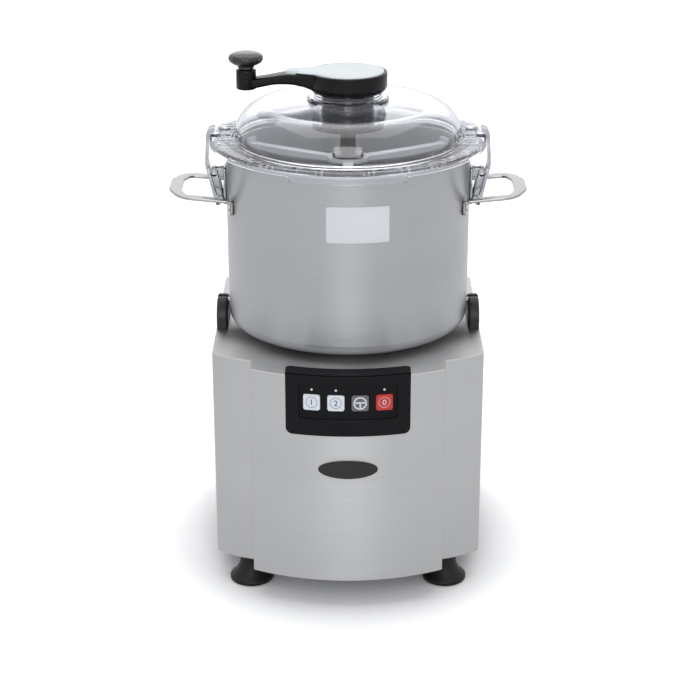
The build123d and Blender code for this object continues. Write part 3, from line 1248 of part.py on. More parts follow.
def make_scraper():
    hub = SCRAPER_HUB_R + HAIR
    arms = ring(hub, hub + SCRAPER_RING, SCRAPER_ARM_LOW - 2, SCRAPER_ARM_HIGH + 2)
    for angle in SCRAPER_ANGLES:
        arm = block((hub + OVERRUN, -SCRAPER_ARM_HALF, SCRAPER_ARM_LOW),
            (SCRAPER_REACH - SCRAPER_WIPER_THICK / 2, SCRAPER_ARM_HALF, SCRAPER_ARM_HIGH))
        wiper = ring(SCRAPER_REACH - SCRAPER_WIPER_THICK, SCRAPER_REACH, SCRAPER_WIPER_LOW,
            SCRAPER_WIPER_HIGH)
        wiper &= block((0, -SCRAPER_WIPER_HALF, SCRAPER_WIPER_LOW), (BOWL_R, SCRAPER_WIPER_HALF,
            SCRAPER_WIPER_HIGH))
        arms += Rot(0, 0, angle) * (arm + wiper)
    save("scraper_arms", arms)


def make_knob():
    pin_top = KNOB_LOW + KNOB_HEIGHT - KNOB_PIN_CAP
    pin = rod(KNOB_PIN_R, BOSS_TOP - KNOB_PIN_DEPTH + 0.2, pin_top, -CRANK_REACH)
    save("knob_pin", pin)
    z0 = KNOB_LOW
    top = z0 + KNOB_HEIGHT
    rim_z = top - KNOB_CROWN
    lines = [
        Line((0, 0, z0), (KNOB_NECK_R, 0, z0)),
        Line((KNOB_NECK_R, 0, z0), (KNOB_NECK_R, 0, z0 + KNOB_NECK)),
        Spline((KNOB_NECK_R, 0, z0 + KNOB_NECK), (KNOB_R, 0, rim_z), tangents=[(1, 0, 0.25), (0, 0, 1)]),
        Spline((KNOB_R, 0, rim_z), (0, 0, top), tangents=[(0, 0, 1), (-1, 0, 0)]),
        Line((0, 0, top), (0, 0, z0)),
    ]
    knob = Pos(-CRANK_REACH, 0, 0) * revolve(make_face(lines), Axis.Z)
    save("crank_knob", knob - rod(KNOB_PIN_R + FIT, z0 - OVERRUN, pin_top + 0.3, -CRANK_REACH))


# ---------------------------------------------------------------- blades
def s_blade(z):
    """Two swept arms round a centre hole, with a bevel along each leading edge."""
    blade = rod(HUB_FLANGE_R, z, z + BLADE_THICK)
    for turn in (0, 180):
        blade += Rot(0, 0, turn) * swept_arm(z)
    return blade - rod(HUB_R + HAIR, z - OVERRUN, z + BLADE_THICK + OVERRUN)


def swept_arm(z):
    """One curved arm that narrows to its tip."""
    root = HUB_FLANGE_R - 3
    half = BLADE_WIDTH / 2
    lines = [
        Line((0, -root), (0, root)),
        ThreePointArc((0, root), (BLADE_R * 0.5, half + BLADE_BOW), (BLADE_R * 0.97, -half * 0.6)),
        Line((BLADE_R * 0.97, -half * 0.6), (BLADE_R * 0.92, -half * 1.2)),
        ThreePointArc((BLADE_R * 0.92, -half * 1.2), (BLADE_R * 0.5, 0.0), (0, -root)),
    ]
    arm = Pos(0, 0, z) * extrude(make_face(lines), BLADE_THICK)
    edges = [e for e in arm.edges().group_by(Axis.Z)[-1] if e.length > BLADE_R * 0.6 and e.center().Y > 5]
    return chamfer(edges, BLADE_THICK * 0.8, BLADE_BEVEL)


def make_blades():
    hub = ring(HUB_BORE_R, HUB_R, HUB_LOW, HUB_HIGH) + ring(HUB_BORE_R, HUB_FLANGE_R, HUB_LOW,
        HUB_LOW + HUB_FLANGE)
    lid_low = SPINDLE_TOP - SPINDLE_KEY + OVERRUN
    hub += rod(HUB_BORE_R + OVERRUN, lid_low, HUB_HIGH) - spindle_key(PART_GAP / 2, lid_low - OVERRUN,
        SPINDLE_TOP + PART_GAP)
    save("blade_hub", hub)
    lower_z = HUB_LOW + HUB_FLANGE
    upper_low = UPPER_BLADE_Z
    save("blade_lower", s_blade(lower_z))
    save("blade_spacer", ring(HUB_R + HAIR, BLADE_KNOB_R, lower_z + BLADE_THICK, upper_low))
    save("blade_upper", Rot(0, 0, 90) * s_blade(upper_low))
    skirt_low = upper_low + BLADE_THICK
    knob = rod(BLADE_KNOB_R, skirt_low, HUB_HIGH + BLADE_KNOB_SKIRT)
    knob = fillet(knob.edges().group_by(Axis.Z)[-1], BLADE_KNOB_SHOULDER_R) - rod(HUB_R + HAIR,
        skirt_low - OVERRUN, HUB_HIGH + HAIR)
    grip = rod(HUB_R, HUB_HIGH + BLADE_KNOB_SKIRT - OVERRUN, BLADE_KNOB_TOP)
    save("blade_knob", knob + fillet(grip.edges().group_by(Axis.Z)[-1], BLADE_KNOB_TOP_R))


def main():
    os.makedirs("parts", exist_ok=True)
    make_housing()
    make_top_plate()
    make_bottom_plate()
    make_rear_panel()
    make_feet()
    make_bezel()
    make_board()
    make_badge()
    make_motor()
    make_drive()
    make_base_fittings()
    make_posts()
    make_bowl()
    make_label()
    make_handles()
    make_latches()
    make_lid()
    make_crank()
    make_blades()


main()
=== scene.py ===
"""Looks for a bowl cutter: a brushed steel cabinet, a lift-off bowl, a clear latched lid and a winding crank.

Sizes are metres in the machine's frame: origin on the ground under the bowl, +X right, -Y front, +Z up.
"""
import logging
import math
from dataclasses import dataclass, field
from enum import Enum
from typing import Iterable, Sequence

import bmesh
import bpy
from mathutils import Matrix, Vector


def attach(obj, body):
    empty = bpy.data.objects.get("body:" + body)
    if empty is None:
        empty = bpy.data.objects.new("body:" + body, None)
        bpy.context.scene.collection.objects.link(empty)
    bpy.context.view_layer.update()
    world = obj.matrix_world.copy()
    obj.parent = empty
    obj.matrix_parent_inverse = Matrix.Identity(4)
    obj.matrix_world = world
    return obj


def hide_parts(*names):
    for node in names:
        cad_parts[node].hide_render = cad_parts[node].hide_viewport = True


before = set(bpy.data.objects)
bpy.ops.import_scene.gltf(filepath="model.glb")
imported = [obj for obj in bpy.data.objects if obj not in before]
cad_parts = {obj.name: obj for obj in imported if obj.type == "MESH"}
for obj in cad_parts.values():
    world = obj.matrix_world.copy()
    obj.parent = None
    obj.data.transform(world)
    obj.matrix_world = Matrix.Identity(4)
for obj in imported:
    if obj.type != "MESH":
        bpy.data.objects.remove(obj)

LOG = logging.getLogger("bowl_cutter")
MM = 0.001
BULGE_RADIUS = 0.232
BULGE_REACH = 0.1787
BULGE_CENTRE_Y = BULGE_RADIUS - BULGE_REACH
BOWL_RADIUS = 0.140
SHARP_ANGLE = math.radians(32)
SQUARE_ANGLE = math.radians(60)
WHOLE = (0.0, 1.0)
WAVE_RATIO = 0.314
SIDES = ((1, "right"), (-1, "left"))

Colour = tuple[float, float, float]
Corner = tuple[float, float]
Mesh = bmesh.types.BMesh
Edges = list[bmesh.types.BMEdge]
Node = bpy.types.Node
Socket = bpy.types.NodeSocket


# ------------------------------------------------------------------ node sheets
class NodeSheet:
    """A shader node tree with short ways to add nodes and join them."""

    def __init__(self, tree: bpy.types.NodeTree) -> None:
        """Keep the tree that nodes are added to."""
        self.tree = tree

    def add(self, kind: str, **values: object) -> Node:
        """Add a node of a kind, and set its properties by name."""
        node = self.tree.nodes.new(kind)
        for name, value in values.items():
            setattr(node, name, value)
        return node

    def join(self, output: Socket, target: Socket) -> None:
        """Link an output to an input."""
        self.tree.links.new(output, target)

    def feed(self, value: object, target: Socket) -> None:
        """Give an input a number, or link a socket to it."""
        if isinstance(value, Socket):
            self.join(value, target)
        else:
            target.default_value = value

    def remap(self, source: Socket, old: Corner, new: Corner) -> Socket:
        """Stretch a value from its old range to a new one, held at both ends."""
        node = self.add("ShaderNodeMapRange")
        for socket, value in zip(node.inputs[1:5], (*old, *new)):
            socket.default_value = value
        self.join(source, node.inputs[0])
        return node.outputs[0]

    def math(self, operation: str, first: object, second: object = 0.0) -> Socket:
        """Combine two values, each a socket or a number, with a Math node's operation."""
        node = self.add("ShaderNodeMath", operation=operation)
        for socket, value in zip(node.inputs, (first, second)):
            self.feed(value, socket)
        return node.outputs[0]

    def noise(self, vector: Socket, scale: object, **values: float) -> Socket:
        """Add a noise texture; its scale is a number or a socket, and values are its other inputs."""
        node = self.add("ShaderNodeTexNoise")
        self.join(vector, node.inputs["Vector"])
        self.feed(scale, node.inputs["Scale"])
        for name, value in values.items():
            node.inputs[name].default_value = value
        return node.outputs[0]


def fresh_sheet(owner: bpy.types.Material | bpy.types.World) -> NodeSheet:
    """Empty the node tree of a material or a world, and open it."""
    owner.use_nodes = True
    owner.node_tree.nodes.clear()
    return NodeSheet(owner.node_tree)


class Effect(Enum):
    """Shared surface effects, each one node group."""

    GRAIN = "Brushed grain"
    MOULDED = "Moulded skin"
    SMUDGE = "Handling smudges"


def open_group(effect: Effect, inputs: Sequence[str], outputs: Sequence[str]) -> tuple[NodeSheet, Node, Node]:
    """Start a node group with a Vector input, named values and named outputs.

    Args:
        effect: The effect that the group makes.
        inputs: Names of its float inputs.
        outputs: Names of its float outputs.
    Returns:
        The group's sheet, its input node and its output node.
    """
    tree = bpy.data.node_groups.new(effect.value, "ShaderNodeTree")
    tree.interface.new_socket("Vector", in_out="INPUT", socket_type="NodeSocketVector")
    for name in inputs:
        tree.interface.new_socket(name, in_out="INPUT", socket_type="NodeSocketFloat")
    for name in outputs:
        tree.interface.new_socket(name, in_out="OUTPUT", socket_type="NodeSocketFloat")
    sheet = NodeSheet(tree)
    return sheet, sheet.add("NodeGroupInput"), sheet.add("NodeGroupOutput")


def build_grain() -> bpy.types.NodeTree:
    """Fine streaks over soft clouds, as on brushed steel; the caller's Mapping node stretches them."""
    sheet, entry, result = open_group(Effect.GRAIN, ["Fineness", "Cloud"], ["Streak", "Tone"])
    place = entry.outputs["Vector"]
    streak = sheet.noise(place, entry.outputs["Fineness"], Detail=3.0, Roughness=0.7)
    cloud = sheet.noise(place, entry.outputs["Cloud"], Detail=2.0)
    fine = sheet.remap(streak, (0.3, 0.7), WHOLE)
    soft = sheet.remap(cloud, (0.35, 0.65), WHOLE)
    sheet.join(fine, result.inputs["Streak"])
    sheet.join(sheet.math("ADD", sheet.math("MULTIPLY", fine, 0.45), sheet.math("MULTIPLY", soft, 0.55)),
               result.inputs["Tone"])
    return sheet.tree


def build_moulded() -> bpy.types.NodeTree:
    """The pebbled skin and faint flow marks of moulded plastic or rubber."""
    sheet, entry, result = open_group(Effect.MOULDED, ["Pebble"], ["Mottle", "Height"])
    cells = sheet.add("ShaderNodeTexVoronoi", feature="SMOOTH_F1")
    sheet.join(entry.outputs["Vector"], cells.inputs["Vector"])
    sheet.join(entry.outputs["Pebble"], cells.inputs["Scale"])
    flow = sheet.noise(entry.outputs["Vector"], 22.0, Detail=4.0)
    sheet.join(sheet.remap(flow, (0.3, 0.7), WHOLE), result.inputs["Mottle"])
    sheet.join(cells.outputs["Distance"], result.inputs["Height"])
    return sheet.tree


def build_smudge() -> bpy.types.NodeTree:
    """Soft patches where hands and cloths have dulled or polished a surface."""
    sheet, entry, result = open_group(Effect.SMUDGE, ["Size"], ["Patch"])
    patch = sheet.noise(entry.outputs["Vector"], entry.outputs["Size"], Detail=5.0, Distortion=0.6)
    sheet.join(sheet.remap(patch, (0.38, 0.62), WHOLE), result.inputs["Patch"])
    return sheet.tree


BUILDERS = {Effect.GRAIN: build_grain, Effect.MOULDED: build_moulded, Effect.SMUDGE: build_smudge}


def effect_node(sheet: NodeSheet, effect: Effect, vector: Socket, **values: float) -> Node:
    """Place a shared effect in a material.

    Args:
        sheet: The material's nodes.
        effect: The effect to place.
        vector: Where it is read.
        values: The group's inputs, by name.
    Returns:
        The group node.
    """
    tree = bpy.data.node_groups.get(effect.value) or BUILDERS[effect]()
    node = sheet.add("ShaderNodeGroup")
    node.node_tree = tree
    sheet.join(vector, node.inputs["Vector"])
    for name, value in values.items():
        node.inputs[name].default_value = value
    return node


# ------------------------------------------------------------------ finishes
@dataclass(frozen=True)
class Finish:
    """What every finish has: a base colour, how rough it is, and how strong its relief is."""

    colour: Colour
    rough: float
    relief: float = 0.0

    def material(self, name: str) -> bpy.types.Material:
        """Build the node material.

        Args:
            name: The material's name.
        Returns:
            The material.
        """
        made = bpy.data.materials.new(name)
        sheet = fresh_sheet(made)
        shader = sheet.add("ShaderNodeBsdfPrincipled")
        sheet.join(shader.outputs[0], sheet.add("ShaderNodeOutputMaterial").inputs[0])
        self.dress(sheet, shader, sheet.add("ShaderNodeTexCoord").outputs["Object"])
        made.diffuse_color = (*self.colour, 1.0)
        return made

    def dress(self, sheet: NodeSheet, shader: Node, place: Socket) -> None:
        """Set the shader's sockets; each kind of finish does this its own way."""
        raise NotImplementedError

    def tint(self, sheet: NodeSheet, factor: Socket, spread: float, hue: Colour = (1.0, 1.0, 1.0)) -> Socket:
        """Blend a darker and a lighter tone of the finish's colour.

        Args:
            sheet: The material's nodes.
            factor: 0 for dark and 1 for light.
            spread: How far each tone is from the colour.
            hue: A tint on the dark tone.
        Returns:
            The colour socket.
        """
        mix = sheet.add("ShaderNodeMix", data_type="RGBA")
        dark = [c * (1 - spread) * h for c, h in zip(self.colour, hue)]
        light = [min(1.0, c * (1 + spread)) for c in self.colour]
        mix.inputs[6].default_value = (*dark, 1.0)
        mix.inputs[7].default_value = (*light, 1.0)
        sheet.join(factor, mix.inputs[0])
        return mix.outputs[2]

    def emboss(self, sheet: NodeSheet, shader: Node, height: Socket, distance: float) -> None:
        """Feed a height to the shader's normal, as relief of a depth in metres."""
        bump = sheet.add("ShaderNodeBump")
        bump.inputs["Strength"].default_value = self.relief
        bump.inputs["Distance"].default_value = distance
        sheet.join(height, bump.inputs["Height"])
        sheet.join(bump.outputs[0], shader.inputs["Normal"])


@dataclass(frozen=True)
class BrushedMetal(Finish):
    """Metal with grain along one direction; stretch is the pattern's scale along X, Y and Z.

    Anisotropy spreads reflections across a grain that runs round the upright axis.
    """

    stretch: Colour = (3.0, 3.0, 420.0)
    spread: float = 0.05
    fineness: float = 1.6
    cloud: float = 0.012
    metallic: float = 1.0
    anisotropy: float = 0.0
    shade: Colour = (0.99, 0.995, 1.0)
    depth: float = 0.00004

    def dress(self, sheet: NodeSheet, shader: Node, place: Socket) -> None:
        """Streaks in colour and roughness, with smudges over them."""
        mapping = sheet.add("ShaderNodeMapping")
        mapping.inputs["Scale"].default_value = self.stretch
        sheet.join(place, mapping.inputs["Vector"])
        grain = effect_node(sheet, Effect.GRAIN, mapping.outputs[0], Fineness=self.fineness, Cloud=self.cloud)
        smudge = effect_node(sheet, Effect.SMUDGE, place, Size=9.0)
        tone = self.tint(sheet, grain.outputs["Tone"], self.spread, self.shade)
        sheet.join(tone, shader.inputs["Base Color"])
        patch = sheet.math("MULTIPLY", smudge.outputs["Patch"], 0.35)
        blend = sheet.math("ADD", sheet.math("MULTIPLY", grain.outputs["Streak"], 0.65), patch)
        gloss = sheet.remap(blend, WHOLE, (self.rough * 0.8, self.rough * 1.25))
        sheet.join(gloss, shader.inputs["Roughness"])
        shader.inputs["Metallic"].default_value = self.metallic
        shader.inputs["Anisotropic"].default_value = self.anisotropy
        shader.inputs["Anisotropic Rotation"].default_value = 0.25
        if self.relief:
            self.emboss(sheet, shader, grain.outputs["Streak"], self.depth)


@dataclass(frozen=True)
class Moulded(Finish):
    """Moulded plastic, rubber or paint."""

    pebble: float = 900.0
    spread: float = 0.12
    coat: float = 0.0
    specular: float = 0.5
    depth: float = 0.00012

    def dress(self, sheet: NodeSheet, shader: Node, place: Socket) -> None:
        """A faint mottle in colour, a pebbled skin, and smudged gloss."""
        skin = effect_node(sheet, Effect.MOULDED, place, Pebble=self.pebble)
        smudge = effect_node(sheet, Effect.SMUDGE, place, Size=14.0)
        sheet.join(self.tint(sheet, skin.outputs["Mottle"], self.spread), shader.inputs["Base Color"])
        gloss = sheet.remap(smudge.outputs["Patch"], WHOLE, (self.rough * 0.88, self.rough * 1.12))
        sheet.join(gloss, shader.inputs["Roughness"])
        shader.inputs["Specular IOR Level"].default_value = self.specular
        shader.inputs["Coat Weight"].default_value = self.coat
        shader.inputs["Coat Roughness"].default_value = 0.12
        if self.relief:
            self.emboss(sheet, shader, skin.outputs["Height"], self.depth)


@dataclass(frozen=True)
class ClearPlastic(Finish):
    """Clear moulded plastic with a real wall; light that falls through it is held back by the veil alone."""

    index: float = 1.49
    veil: float = 0.05
    depth: float = 0.0004

    def dress(self, sheet: NodeSheet, shader: Node, place: Socket) -> None:
        """Full transmission, with wiping marks in the gloss and a faint moulding wave."""
        smudge = effect_node(sheet, Effect.SMUDGE, place, Size=16.0)
        skin = effect_node(sheet, Effect.MOULDED, place, Pebble=60.0)
        sheet.join(self.tint(sheet, skin.outputs["Mottle"], 0.012), shader.inputs["Base Color"])
        gloss = sheet.remap(smudge.outputs["Patch"], WHOLE, (self.rough, self.rough * 2.2))
        sheet.join(gloss, shader.inputs["Roughness"])
        shader.inputs["Transmission Weight"].default_value = 1.0
        shader.inputs["IOR"].default_value = self.index
        path = sheet.add("ShaderNodeLightPath")
        through = sheet.math("MAXIMUM", path.outputs["Is Shadow Ray"], path.outputs["Is Diffuse Ray"])
        sheet.join(sheet.remap(through, WHOLE, (1.0, self.veil)), shader.inputs["Alpha"])
        if self.relief:
            self.emboss(sheet, shader, skin.outputs["Mottle"], self.depth)


@dataclass(frozen=True)
class LaminatedCore(Finish):
    """A stack of thin plates, as in a motor's core."""

    pitch: float = 0.004
    depth: float = 0.0003

    def dress(self, sheet: NodeSheet, shader: Node, place: Socket) -> None:
        """Level bands in colour and relief."""
        bands = sheet.add("ShaderNodeTexWave", bands_direction="Z")
        bands.inputs["Scale"].default_value = WAVE_RATIO / self.pitch
        bands.inputs["Distortion"].default_value = 0.3
        sheet.join(place, bands.inputs["Vector"])
        sheet.join(self.tint(sheet, bands.outputs[1], 0.25), shader.inputs["Base Color"])
        shader.inputs["Roughness"].default_value = self.rough
        shader.inputs["Metallic"].default_value = 0.8
        self.emboss(sheet, shader, bands.outputs[1], self.depth)


FINISHES: dict[str, Finish] = {
    "brushed_steel": BrushedMetal(
        (0.508, 0.512, 0.516), 0.42, 0.25, (2.2, 2.2, 330.0), 0.08, anisotropy=0.75),
    "plain_steel": BrushedMetal((0.42, 0.43, 0.44), 0.40, 0.25, (2.2, 330.0, 2.2), 0.06),
    "bowl_steel": BrushedMetal((0.448, 0.456, 0.472), 0.40, 0.25, (2.0, 2.0, 420.0), 0.09, anisotropy=0.8),
    "handle_steel": BrushedMetal((0.40, 0.395, 0.39), 0.24, 0.2, (260.0, 8.0, 8.0), 0.06),
    "latch_steel": BrushedMetal((0.40, 0.41, 0.43), 0.20, 0.2, (90.0, 200.0, 12.0), 0.09),
    "strap_steel": BrushedMetal((0.42, 0.435, 0.465), 0.22, 0.2, (90.0, 200.0, 12.0), 0.09),
    "rivet_steel": BrushedMetal((0.55, 0.55, 0.55), 0.22, 0.2, (90.0, 90.0, 90.0), 0.06),
    "zinc_steel": BrushedMetal((0.50, 0.51, 0.50), 0.33, 0.3, (120.0, 120.0, 120.0), 0.12),
    "shaft_steel": BrushedMetal((0.52, 0.52, 0.53), 0.22, 0.3, (6.0, 6.0, 900.0), 0.08),
    "bearing_steel": BrushedMetal((0.56, 0.56, 0.57), 0.18, 0.2, (20.0, 20.0, 500.0), 0.06),
    "blade_steel": BrushedMetal((0.55, 0.56, 0.58), 0.16, 0.2, (160.0, 160.0, 20.0), 0.08),
    "cast_aluminium": BrushedMetal((0.42, 0.42, 0.43), 0.52, 0.6, (260.0, 260.0, 260.0), 0.16),
    "rotor_iron": LaminatedCore((0.16, 0.165, 0.17), 0.42, 0.5),
    "motor_paint": LaminatedCore((0.05, 0.065, 0.085), 0.40, 0.4, 0.005),
    "capacitor_shell": BrushedMetal((0.60, 0.60, 0.60), 0.30, 0.2, (8.0, 8.0, 500.0), 0.05),
    "black_rubber": Moulded((0.009, 0.009, 0.010), 0.46, 0.35, 1400.0, 0.2, 0.0, 0.25),
    "seal_rubber": Moulded((0.015, 0.015, 0.015), 0.55, 0.3, 1600.0, 0.2),
    "black_plastic": Moulded((0.007, 0.007, 0.009), 0.42, 0.25, 1500.0, 0.12, 0.0, 0.12),
    "keypad_black": Moulded((0.006, 0.006, 0.008), 0.34, 0.12, 2400.0, 0.10, 0.0, 0.12),
    "knob_black": Moulded((0.006, 0.006, 0.007), 0.24, 0.12, 1100.0, 0.12, 0.0, 0.20),
    "grip_black": Moulded((0.010, 0.010, 0.012), 0.20, 0.10, 1100.0, 0.12, 0.3, 0.5),
    "post_plastic": Moulded((0.012, 0.012, 0.013), 0.40, 0.25, 1300.0, 0.12, 0.0, 0.35),
    "gland_plastic": Moulded((0.02, 0.02, 0.021), 0.42, 0.2, 1300.0, 0.12),
    "fan_plastic": Moulded((0.03, 0.03, 0.032), 0.45, 0.2, 900.0, 0.12),
    "badge_black": Moulded((0.014, 0.014, 0.016), 0.36, 0.15, 2200.0, 0.10, 0.2, 0.3),
    "board_green": Moulded((0.015, 0.11, 0.05), 0.35, 0.3, 420.0, 0.25, 0.4),
    "lamp_lens": Moulded((0.72, 0.73, 0.74), 0.25, 0.1, 900.0, 0.04, 0.4),
    "label_white": Moulded((0.78, 0.80, 0.85), 0.38, 0.1, 2600.0, 0.02, 0.2),
    "gasket_silicone": Moulded((0.76, 0.77, 0.82), 0.42, 0.2, 1400.0, 0.04),
    "scraper_clear": Moulded((0.70, 0.72, 0.75), 0.24, 0.1, 700.0, 0.04, 0.3),
    "pale_cap": Moulded((0.70, 0.76, 0.79), 0.34, 0.15, 1500.0, 0.03, 0.1),
    "key_white": Moulded((0.78, 0.83, 0.90), 0.36, 0.1, 2000.0, 0.02, 0.2),
    "key_grey": Moulded((0.13, 0.135, 0.155), 0.36, 0.1, 2000.0, 0.05, 0.2),
    "key_red": Moulded((0.60, 0.020, 0.018), 0.34, 0.1, 2000.0, 0.05, 0.2),
    "clear_lid": ClearPlastic((0.940, 0.950, 0.985), 0.030, 0.04),
    "mark_dark": Moulded((0.05, 0.055, 0.07), 0.45, 0.1, 2000.0, 0.05),
    "mark_white": Moulded((0.72, 0.76, 0.80), 0.45, 0.1, 2000.0, 0.02),
}


def finish_material(name: str) -> bpy.types.Material:
    """The material of a named finish, built the first time it is asked for."""
    full = f"finish_{name}"
    return bpy.data.materials.get(full) or FINISHES[name].material(full)


# ------------------------------------------------------------------ mesh tools
def sharp_edges(mesh: Mesh, angle: float = SHARP_ANGLE) -> Edges:
    """Edges between two faces that turn by more than an angle."""
    return [e for e in mesh.edges if len(e.link_faces) == 2 and e.calc_face_angle(0.0) > angle]


def edges_above(mesh: Mesh, height: float, angle: float = SHARP_ANGLE) -> Edges:
    """Sharp edges that lie wholly above a height."""
    return [e for e in sharp_edges(mesh, angle) if min(v.co.z for v in e.verts) > height]


def edges_before(mesh: Mesh, y: float, angle: float) -> Edges:
    """Sharp edges that reach in front of a place along Y."""
    return [e for e in sharp_edges(mesh, angle) if min(v.co.y for v in e.verts) < y]


def soften(mesh: Mesh, edges: Iterable[bmesh.types.BMEdge], width: float, segments: int = 2) -> None:
    """Round some edges with a bevel of a width and a number of faces."""
    bmesh.ops.bevel(mesh, geom=list(edges), offset=width, offset_type="OFFSET", segments=segments,
                    profile=0.5, affect="EDGES", material=-1, clamp_overlap=True)


def slice_at(mesh: Mesh, place: Sequence[float], normal: Sequence[float]) -> None:
    """Add edges where a plane crosses the mesh."""
    bmesh.ops.bisect_plane(mesh, geom=mesh.verts[:] + mesh.edges[:] + mesh.faces[:], dist=1e-7,
                           plane_co=place, plane_no=normal)


def turn_round(mesh: Mesh, angle: float) -> None:
    """Turn a mesh about the upright axis."""
    bmesh.ops.rotate(mesh, cent=(0, 0, 0), matrix=Matrix.Rotation(angle, 3, "Z"), verts=mesh.verts[:])


def metres(points: Iterable[Corner]) -> list[Corner]:
    """Points in millimetres, turned to metres."""
    return [(a * MM, b * MM) for a, b in points]


def lathe(mesh: Mesh, corners: Sequence[Corner], steps: int, closed: bool = True,
          centre: Corner = (0.0, 0.0)) -> None:
    """Spin (radius, height) corners about an upright axis.

    Args:
        mesh: The mesh to add to.
        corners: The profile, in order.
        steps: How many faces go round.
        closed: Whether the last corner joins the first.
        centre: The axis, as (x, y).
    """
    points = [mesh.verts.new((centre[0] + r, centre[1], z)) for r, z in corners]
    followers = points[1:] + points[:1] if closed else points[1:]
    edges = [mesh.edges.new(pair) for pair in zip(points, followers)]
    bmesh.ops.spin(mesh, geom=[*points, *edges], cent=(*centre, 0.0), axis=(0, 0, 1), dvec=(0, 0, 0),
                   angle=math.tau, steps=steps, use_merge=True, use_normal_flip=False, use_duplicate=False)
    bmesh.ops.remove_doubles(mesh, verts=mesh.verts[:], dist=1e-6)
    bmesh.ops.recalc_face_normals(mesh, faces=mesh.faces[:])


def prism(mesh: Mesh, outline: Sequence[Sequence[float]], travel: Sequence[float]) -> None:
    """Carry a flat outline along a straight line.

    Args:
        mesh: The mesh to add to.
        outline: Its corners.
        travel: How far and which way it is carried.
    """
    face = mesh.faces.new([mesh.verts.new(p) for p in outline])
    thicken(mesh, [face], travel)


def thicken(mesh: Mesh, faces: list[bmesh.types.BMFace], travel: Sequence[float]) -> None:
    """Carry some faces along a straight line, and close the sides."""
    grown = bmesh.ops.extrude_face_region(mesh, geom=faces)["geom"]
    bmesh.ops.translate(mesh, vec=travel, verts=[g for g in grown if isinstance(g, bmesh.types.BMVert)])
    bmesh.ops.recalc_face_normals(mesh, faces=mesh.faces[:])


def slab(mesh: Mesh, outline: Sequence[Corner], near: float, far: float) -> None:
    """Carry an (x, z) outline along Y from near to far, all in millimetres."""
    prism(mesh, [(x, near * MM, z) for x, z in metres(outline)], (0, (far - near) * MM, 0))


def arc(centre: Corner, radius: float, start: float, end: float, steps: int) -> list[Corner]:
    """Points along an arc, in degrees, both ends included."""
    turns = [math.radians(start + (end - start) * i / steps) for i in range(steps + 1)]
    return [(centre[0] + radius * math.cos(a), centre[1] + radius * math.sin(a)) for a in turns]


def rounded_outline(points: Sequence[Corner], radii: Sequence[float], steps: int = 5) -> list[Corner]:
    """A closed outline with each corner rounded by its own radius.

    Args:
        points: The sharp corners.
        radii: Each corner's radius, 0 where it stays sharp.
        steps: How many runs make each round.
    Returns:
        The corners of the rounded outline.
    """
    made: list[Corner] = []
    for i, (point, radius) in enumerate(zip(points, radii)):
        here = Vector(point)
        before = (Vector(points[i - 1]) - here).normalized()
        after = (Vector(points[(i + 1) % len(points)]) - here).normalized()
        if not radius:
            made.append(point)
            continue
        half = before.angle(after) / 2
        centre = here + (before + after).normalized() * radius / math.sin(half)
        first, last = [here + way * radius / math.tan(half) - centre for way in (before, after)]
        start, end = [math.degrees(math.atan2(way.y, way.x)) for way in (first, last)]
        sweep = (end - start + 180) % 360 - 180
        made += arc(tuple(centre), radius, start, start + sweep, steps)
    return made


def show(name: str, data: bpy.types.ID) -> bpy.types.Object:
    """Put a new object with this data in the scene."""
    made = bpy.data.objects.new(name, data)
    bpy.context.scene.collection.objects.link(made)
    return made


def combine(mesh: Mesh, tool: Mesh, operation: str) -> None:
    """Join a closed mesh with another, or cut one from the other; the tool is used up.

    Args:
        mesh: The mesh that is changed.
        tool: The other mesh.
        operation: UNION or DIFFERENCE.
    """
    pieces = []
    for part, name in ((mesh, "combined"), (tool, "tool")):
        data = bpy.data.meshes.new(name)
        part.to_mesh(data)
        pieces.append(show(name, data))
    tool.free()
    work = pieces[0].modifiers.new("work", "BOOLEAN")
    work.object = pieces[1]
    work.operation = operation
    work.solver = "EXACT"
    graph = bpy.context.evaluated_depsgraph_get()
    result = bpy.data.meshes.new_from_object(pieces[0].evaluated_get(graph))
    mesh.clear()
    mesh.from_mesh(result)
    bpy.data.meshes.remove(result)
    for made in pieces:
        data = made.data
        bpy.data.objects.remove(made)
        bpy.data.meshes.remove(data)


def append(mesh: Mesh, part: Mesh) -> None:
    """Add another mesh to this one; the other is used up."""
    data = bpy.data.meshes.new("part")
    part.to_mesh(data)
    part.free()
    mesh.from_mesh(data)
    bpy.data.meshes.remove(data)


def rounded_rectangle(half_x: float, half_z: float, radius: float, steps: int = 6) -> list[Corner]:
    """The corners of a rectangle with rounded corners, anticlockwise."""
    points: list[Corner] = []
    for sx, sz, start in ((1, 1, 0), (-1, 1, 90), (-1, -1, 180), (1, -1, 270)):
        points += arc((sx * (half_x - radius), sz * (half_z - radius)), radius, start, start + 90, steps)
    return points


def wrap_round(mesh: Mesh, radius: float, centre_y: float, reach: float, cuts: int) -> None:
    """Bend a flat panel round an upright cylinder; X stays, and -Y becomes the height above the skin.

    Args:
        mesh: The flat panel, with its back at y = 0.
        radius: The skin's radius.
        centre_y: Where the cylinder's axis is.
        reach: How far the panel goes from its middle along X.
        cuts: How many extra cuts let it bend.
    """
    for i in range(1, cuts):
        slice_at(mesh, (-reach + 2 * reach * i / cuts, 0, 0), (1, 0, 0))
    for vertex in mesh.verts:
        out = radius - vertex.co.y
        vertex.co.y = centre_y - math.sqrt(out**2 - vertex.co.x**2)


def front_place(x: float) -> Matrix:
    """The turn that carries a piece from the middle of the bulged front to a place x across."""
    turn = Matrix.Rotation(math.asin(x / BULGE_RADIUS), 4, "Z")
    return Matrix.Translation((0, BULGE_CENTRE_Y, 0)) @ turn @ Matrix.Translation((0, -BULGE_CENTRE_Y, 0))


